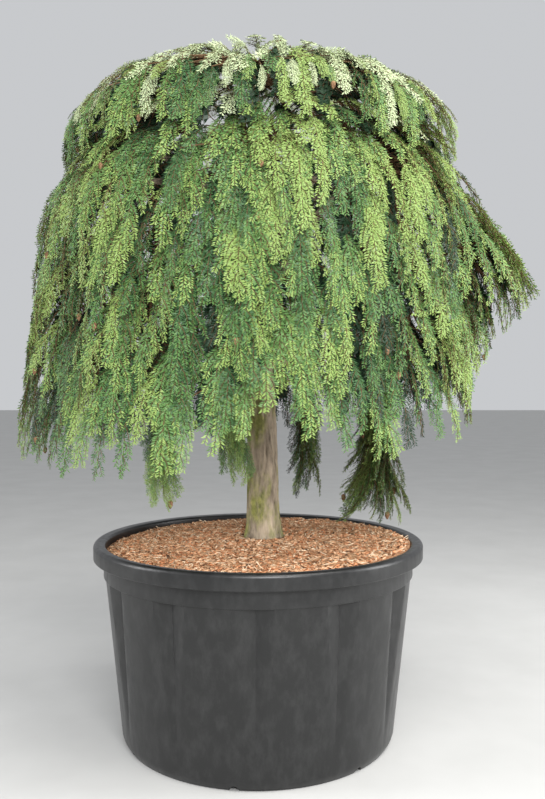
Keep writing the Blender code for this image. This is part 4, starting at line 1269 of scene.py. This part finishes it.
class HEMLOCK_OT_foliage(bpy.types.Operator):
    """Grow twigs and needles over every mass of the crown"""

    bl_idname = "hemlock.foliage"
    bl_label = "Twigs and needles"

    def execute(self, context):
        settings = context.scene.hemlock
        masses = all_masses()
        grown, forks = grow_sprays(masses, Limbs(masses))
        rng = random.Random(SEED + 200)
        outer = (settings.needle_length / SPRAY_LENGTH, settings.needle_width / SPRAY_LENGTH)
        inner = (
            settings.inner_needle_length / SPRAY_LENGTH,
            settings.inner_needle_width / SPRAY_LENGTH,
        )
        templates = [spray_template(rng, *outer) for _ in range(TEMPLATE_COUNT)]
        templates += [spray_template(rng, *inner) for _ in range(TEMPLATE_COUNT)]
        by_tone = [[] for _ in TONE_NAMES]
        twigs = []
        for kind, (needles, marks, tubes) in enumerate(templates):
            for tone in range(len(TONE_NAMES)):
                chosen = [item for item in grown if item[0] == kind and item[1] == tone]
                if not chosen:
                    continue
                roots = np.array([tuple(item[2]) for item in chosen])
                axes = np.array([[tuple(axis) for axis in item[3]] for item in chosen])
                thinned = slice(None, None, 2) if kind >= TEMPLATE_COUNT else slice(None)
                some_needles = needles[thinned]
                some_marks = marks[thinned]
                placed = spread_template(some_needles, roots, axes)
                placed = placed.reshape(len(chosen), len(some_needles), 4, 3)
                tip_tone = min(tone + 1, 3) if 0 < tone < 4 else tone
                by_tone[tone].append(placed[:, some_marks == 0].reshape(-1, 4, 3))
                by_tone[tip_tone].append(placed[:, some_marks == 1].reshape(-1, 4, 3))
                tube_points = spread_template(tubes[0], roots, axes)
                offsets = (np.arange(len(chosen)) * len(tubes[0]))[:, None, None]
                tube_faces = (tubes[1][None] + offsets).reshape(-1, 4)
                twigs.append((tube_points.reshape(-1, 3), tube_faces))
        self.make_needles(settings, by_tone)
        self.make_twigs(settings, masses, forks, twigs)
        self.make_cones(grown)
        return {"FINISHED"}

    def make_needles(self, settings, by_tone):
        """Join the needles of each tone into pieces."""
        colours = (
            settings.deep_green,
            settings.mid_green,
            settings.fresh_green,
            settings.gold_green,
            settings.pale_green,
        )
        for tone, name in enumerate(TONE_NAMES):
            kites = np.concatenate(by_tone[tone])
            material = needle_material("needles_" + name, tuple(colours[tone]))
            pieces = math.ceil(len(kites) / PIECE_FACES)
            for i, part in enumerate(np.array_split(kites, pieces)):
                faces = np.arange(len(part) * 4).reshape(-1, 4)
                piece = "needles_{}_{}".format(name, i + 1)
                mesh = mesh_from_arrays(piece, part.reshape(-1, 3), faces)
                finish_piece(piece, mesh, material, foliage_nodes())

    def make_twigs(self, settings, masses, forks, twigs):
        """Join shoots, forks and stems."""
        starts = np.array([tuple(fork) for fork, _ in forks])
        ends = np.array([tuple(root) for _, root in forks])
        middles = 0.5 * (starts + ends)
        middles[:, 2] += 0.06 * np.linalg.norm(ends - starts, axis=1)
        lines = np.stack((starts, middles, ends), axis=1)
        radii = np.tile(np.array((0.0030, 0.0024, 0.0018)), (len(forks), 1))
        parts = [tube_arrays(lines, radii, 3)]
        for mass in masses:
            stem = mass.stem()
            line = np.array([[tuple(point) for point in stem]])
            taper = np.linspace(BOUGH_TIP_RADIUS, 0.003, len(stem))[None]
            parts.append(tube_arrays(line, taper, 8))
        low = tuple(0.55 * c for c in settings.twig_colour)
        material = grain_material("twig_bark", low, tuple(settings.twig_colour), 60.0)
        points, faces = join_arrays(parts)
        mesh = mesh_from_arrays("branchlets", points, faces)
        finish_piece("branchlets", mesh, material)
        for i, half in enumerate((twigs[::2], twigs[1::2])):
            points, faces = join_arrays(half)
            piece = "shoots_{}".format(i + 1)
            finish_piece(piece, mesh_from_arrays(piece, points, faces), material)

    def make_cones(self, grown):
        """Hang a few small brown cones from the tips of sprays."""
        rng = random.Random(SEED + 300)
        bm = bmesh.new()
        outer = [item for item in grown if item[0] < TEMPLATE_COUNT and item[2].z < CONE_TOP_Z]
        for _, _, root, axes in rng.sample(outer, CONE_COUNT):
            tip = root + axes[2] * 0.92
            ball = bmesh.ops.create_uvsphere(bm, u_segments=10, v_segments=8, radius=0.5)["verts"]
            size = rng.uniform(0.018, 0.024)
            for vert in ball:
                up = vert.co.z + 0.5
                scale = 1.0 + 0.16 * math.cos(16.0 * up + 2.0 * math.atan2(vert.co.y, vert.co.x))
                wide = 0.56 * size * scale * (0.75 + 0.5 * up)
                spot = Vector((vert.co.x * wide, vert.co.y * wide, (vert.co.z - 0.5) * size))
                vert.co = tip + spot
        material = grain_material("cone_scales", (0.10, 0.055, 0.03), (0.34, 0.20, 0.11), 220.0)
        finish_piece("cones", mesh_from_bmesh("cones", bm), material, (), math.radians(50.0))


# Stage


def area_light(context, name, place, aim, size, power, colour):
    """A large soft light."""
    data = bpy.data.lights.new(name, "AREA")
    data.shape = "RECTANGLE"
    data.size, data.size_y = size
    data.energy = power
    data.color = colour
    light = bpy.data.objects.new(name, data)
    light.location = place
    light.rotation_euler = (Vector(aim) - Vector(place)).to_track_quat("-Z", "Y").to_euler()
    context.scene.collection.objects.link(light)


class HEMLOCK_OT_stage(bpy.types.Operator):
    """Set the pale floor, the soft lights and the camera"""

    bl_idname = "hemlock.stage"
    bl_label = "Stage"

    def execute(self, context):
        settings = context.scene.hemlock
        bm = bmesh.new()
        bmesh.ops.create_grid(bm, x_segments=1, y_segments=1, size=30.0)
        mesh = bpy.data.meshes.new("floor")
        bm.to_mesh(mesh)
        bm.free()
        material, tree, shader = new_material("floor_pale", 0.8, 0.2)
        cloud = add_noise(tree, 3.0, detail=3.0)
        shade = add_ramp(tree, cloud, ((0.3, (0.50, 0.50, 0.49)), (0.7, (0.54, 0.54, 0.53))))
        tree.links.new(shade, shader.inputs["Base Color"])
        mesh.materials.append(material)
        floor = bpy.data.objects.new("floor", mesh)
        context.scene.collection.objects.link(floor)

        world = bpy.data.worlds.new("studio")
        world.use_nodes = True
        sky = world.node_tree.nodes["Background"]
        sky.inputs["Color"].default_value = (0.93, 0.95, 0.98, 1.0)
        sky.inputs["Strength"].default_value = settings.sky_level
        context.scene.world = world
        context.scene.view_settings.view_transform = "Standard"
        key = settings.key_power
        area_light(context, "key", (1.3, -1.9, 4.2), (0.0, 0.0, 1.2), (2.6, 2.2), key, (1.0, 0.98, 0.94))
        area_light(context, "left", (-3.2, -0.6, 1.6), (0.0, 0.0, 0.8), (0.9, 2.0), 0.40 * key, (1.0,) * 3)
        area_light(context, "right", (3.2, -0.4, 1.4), (0.0, 0.0, 0.7), (0.9, 2.0), 0.46 * key, (1.0,) * 3)
        area_light(context, "front", (0.5, -3.3, 1.9), (0.0, 0.0, 0.75), (1.6, 0.9), 0.75 * key, (1.0,) * 3)

        lens = bpy.data.cameras.new("camera")
        lens.lens = CAMERA_LENS
        lens.shift_y = CAMERA_SHIFT_Y
        camera = bpy.data.objects.new("camera", lens)
        camera.location = (CAMERA_X, -settings.camera_distance, settings.camera_height)
        camera.rotation_euler = (0.5 * math.pi + settings.camera_pitch, 0.0, 0.0)
        context.scene.collection.objects.link(camera)
        context.scene.camera = camera
        return {"FINISHED"}


class HEMLOCK_PT_pieces(bpy.types.Panel):
    """The pieces of the hemlock"""

    bl_idname = "HEMLOCK_PT_pieces"
    bl_label = "Weeping Hemlock"
    bl_space_type = "VIEW_3D"
    bl_region_type = "UI"
    bl_category = "Hemlock"

    def draw(self, context):
        settings = context.scene.hemlock
        for name in settings.bl_rna.properties.keys():
            if name not in ("rna_type", "name"):
                self.layout.prop(settings, name)
        for operator in OPERATORS:
            self.layout.operator(operator.bl_idname)


OPERATORS = (
    HEMLOCK_OT_container,
    HEMLOCK_OT_mulch_bed,
    HEMLOCK_OT_chips,
    HEMLOCK_OT_trunk,
    HEMLOCK_OT_boughs,
    HEMLOCK_OT_foliage,
    HEMLOCK_OT_stage,
)
CLASSES = (HemlockSettings, *OPERATORS, HEMLOCK_PT_pieces)


def register():
    """Register the classes and hang the settings on the scene."""
    for item in CLASSES:
        bpy.utils.register_class(item)
    bpy.types.Scene.hemlock = bpy.props.PointerProperty(type=HemlockSettings)


def unregister():
    """Take everything back."""
    del bpy.types.Scene.hemlock
    for item in reversed(CLASSES):
        bpy.utils.unregister_class(item)


def main():
    """Register the classes and make every piece in order."""
    register()
    bpy.ops.hemlock.container()
    bpy.ops.hemlock.mulch_bed()
    bpy.ops.hemlock.chips()
    bpy.ops.hemlock.trunk()
    bpy.ops.hemlock.boughs()
    bpy.ops.hemlock.foliage()
    bpy.ops.hemlock.stage()


if __name__ == "__main__":
    main()
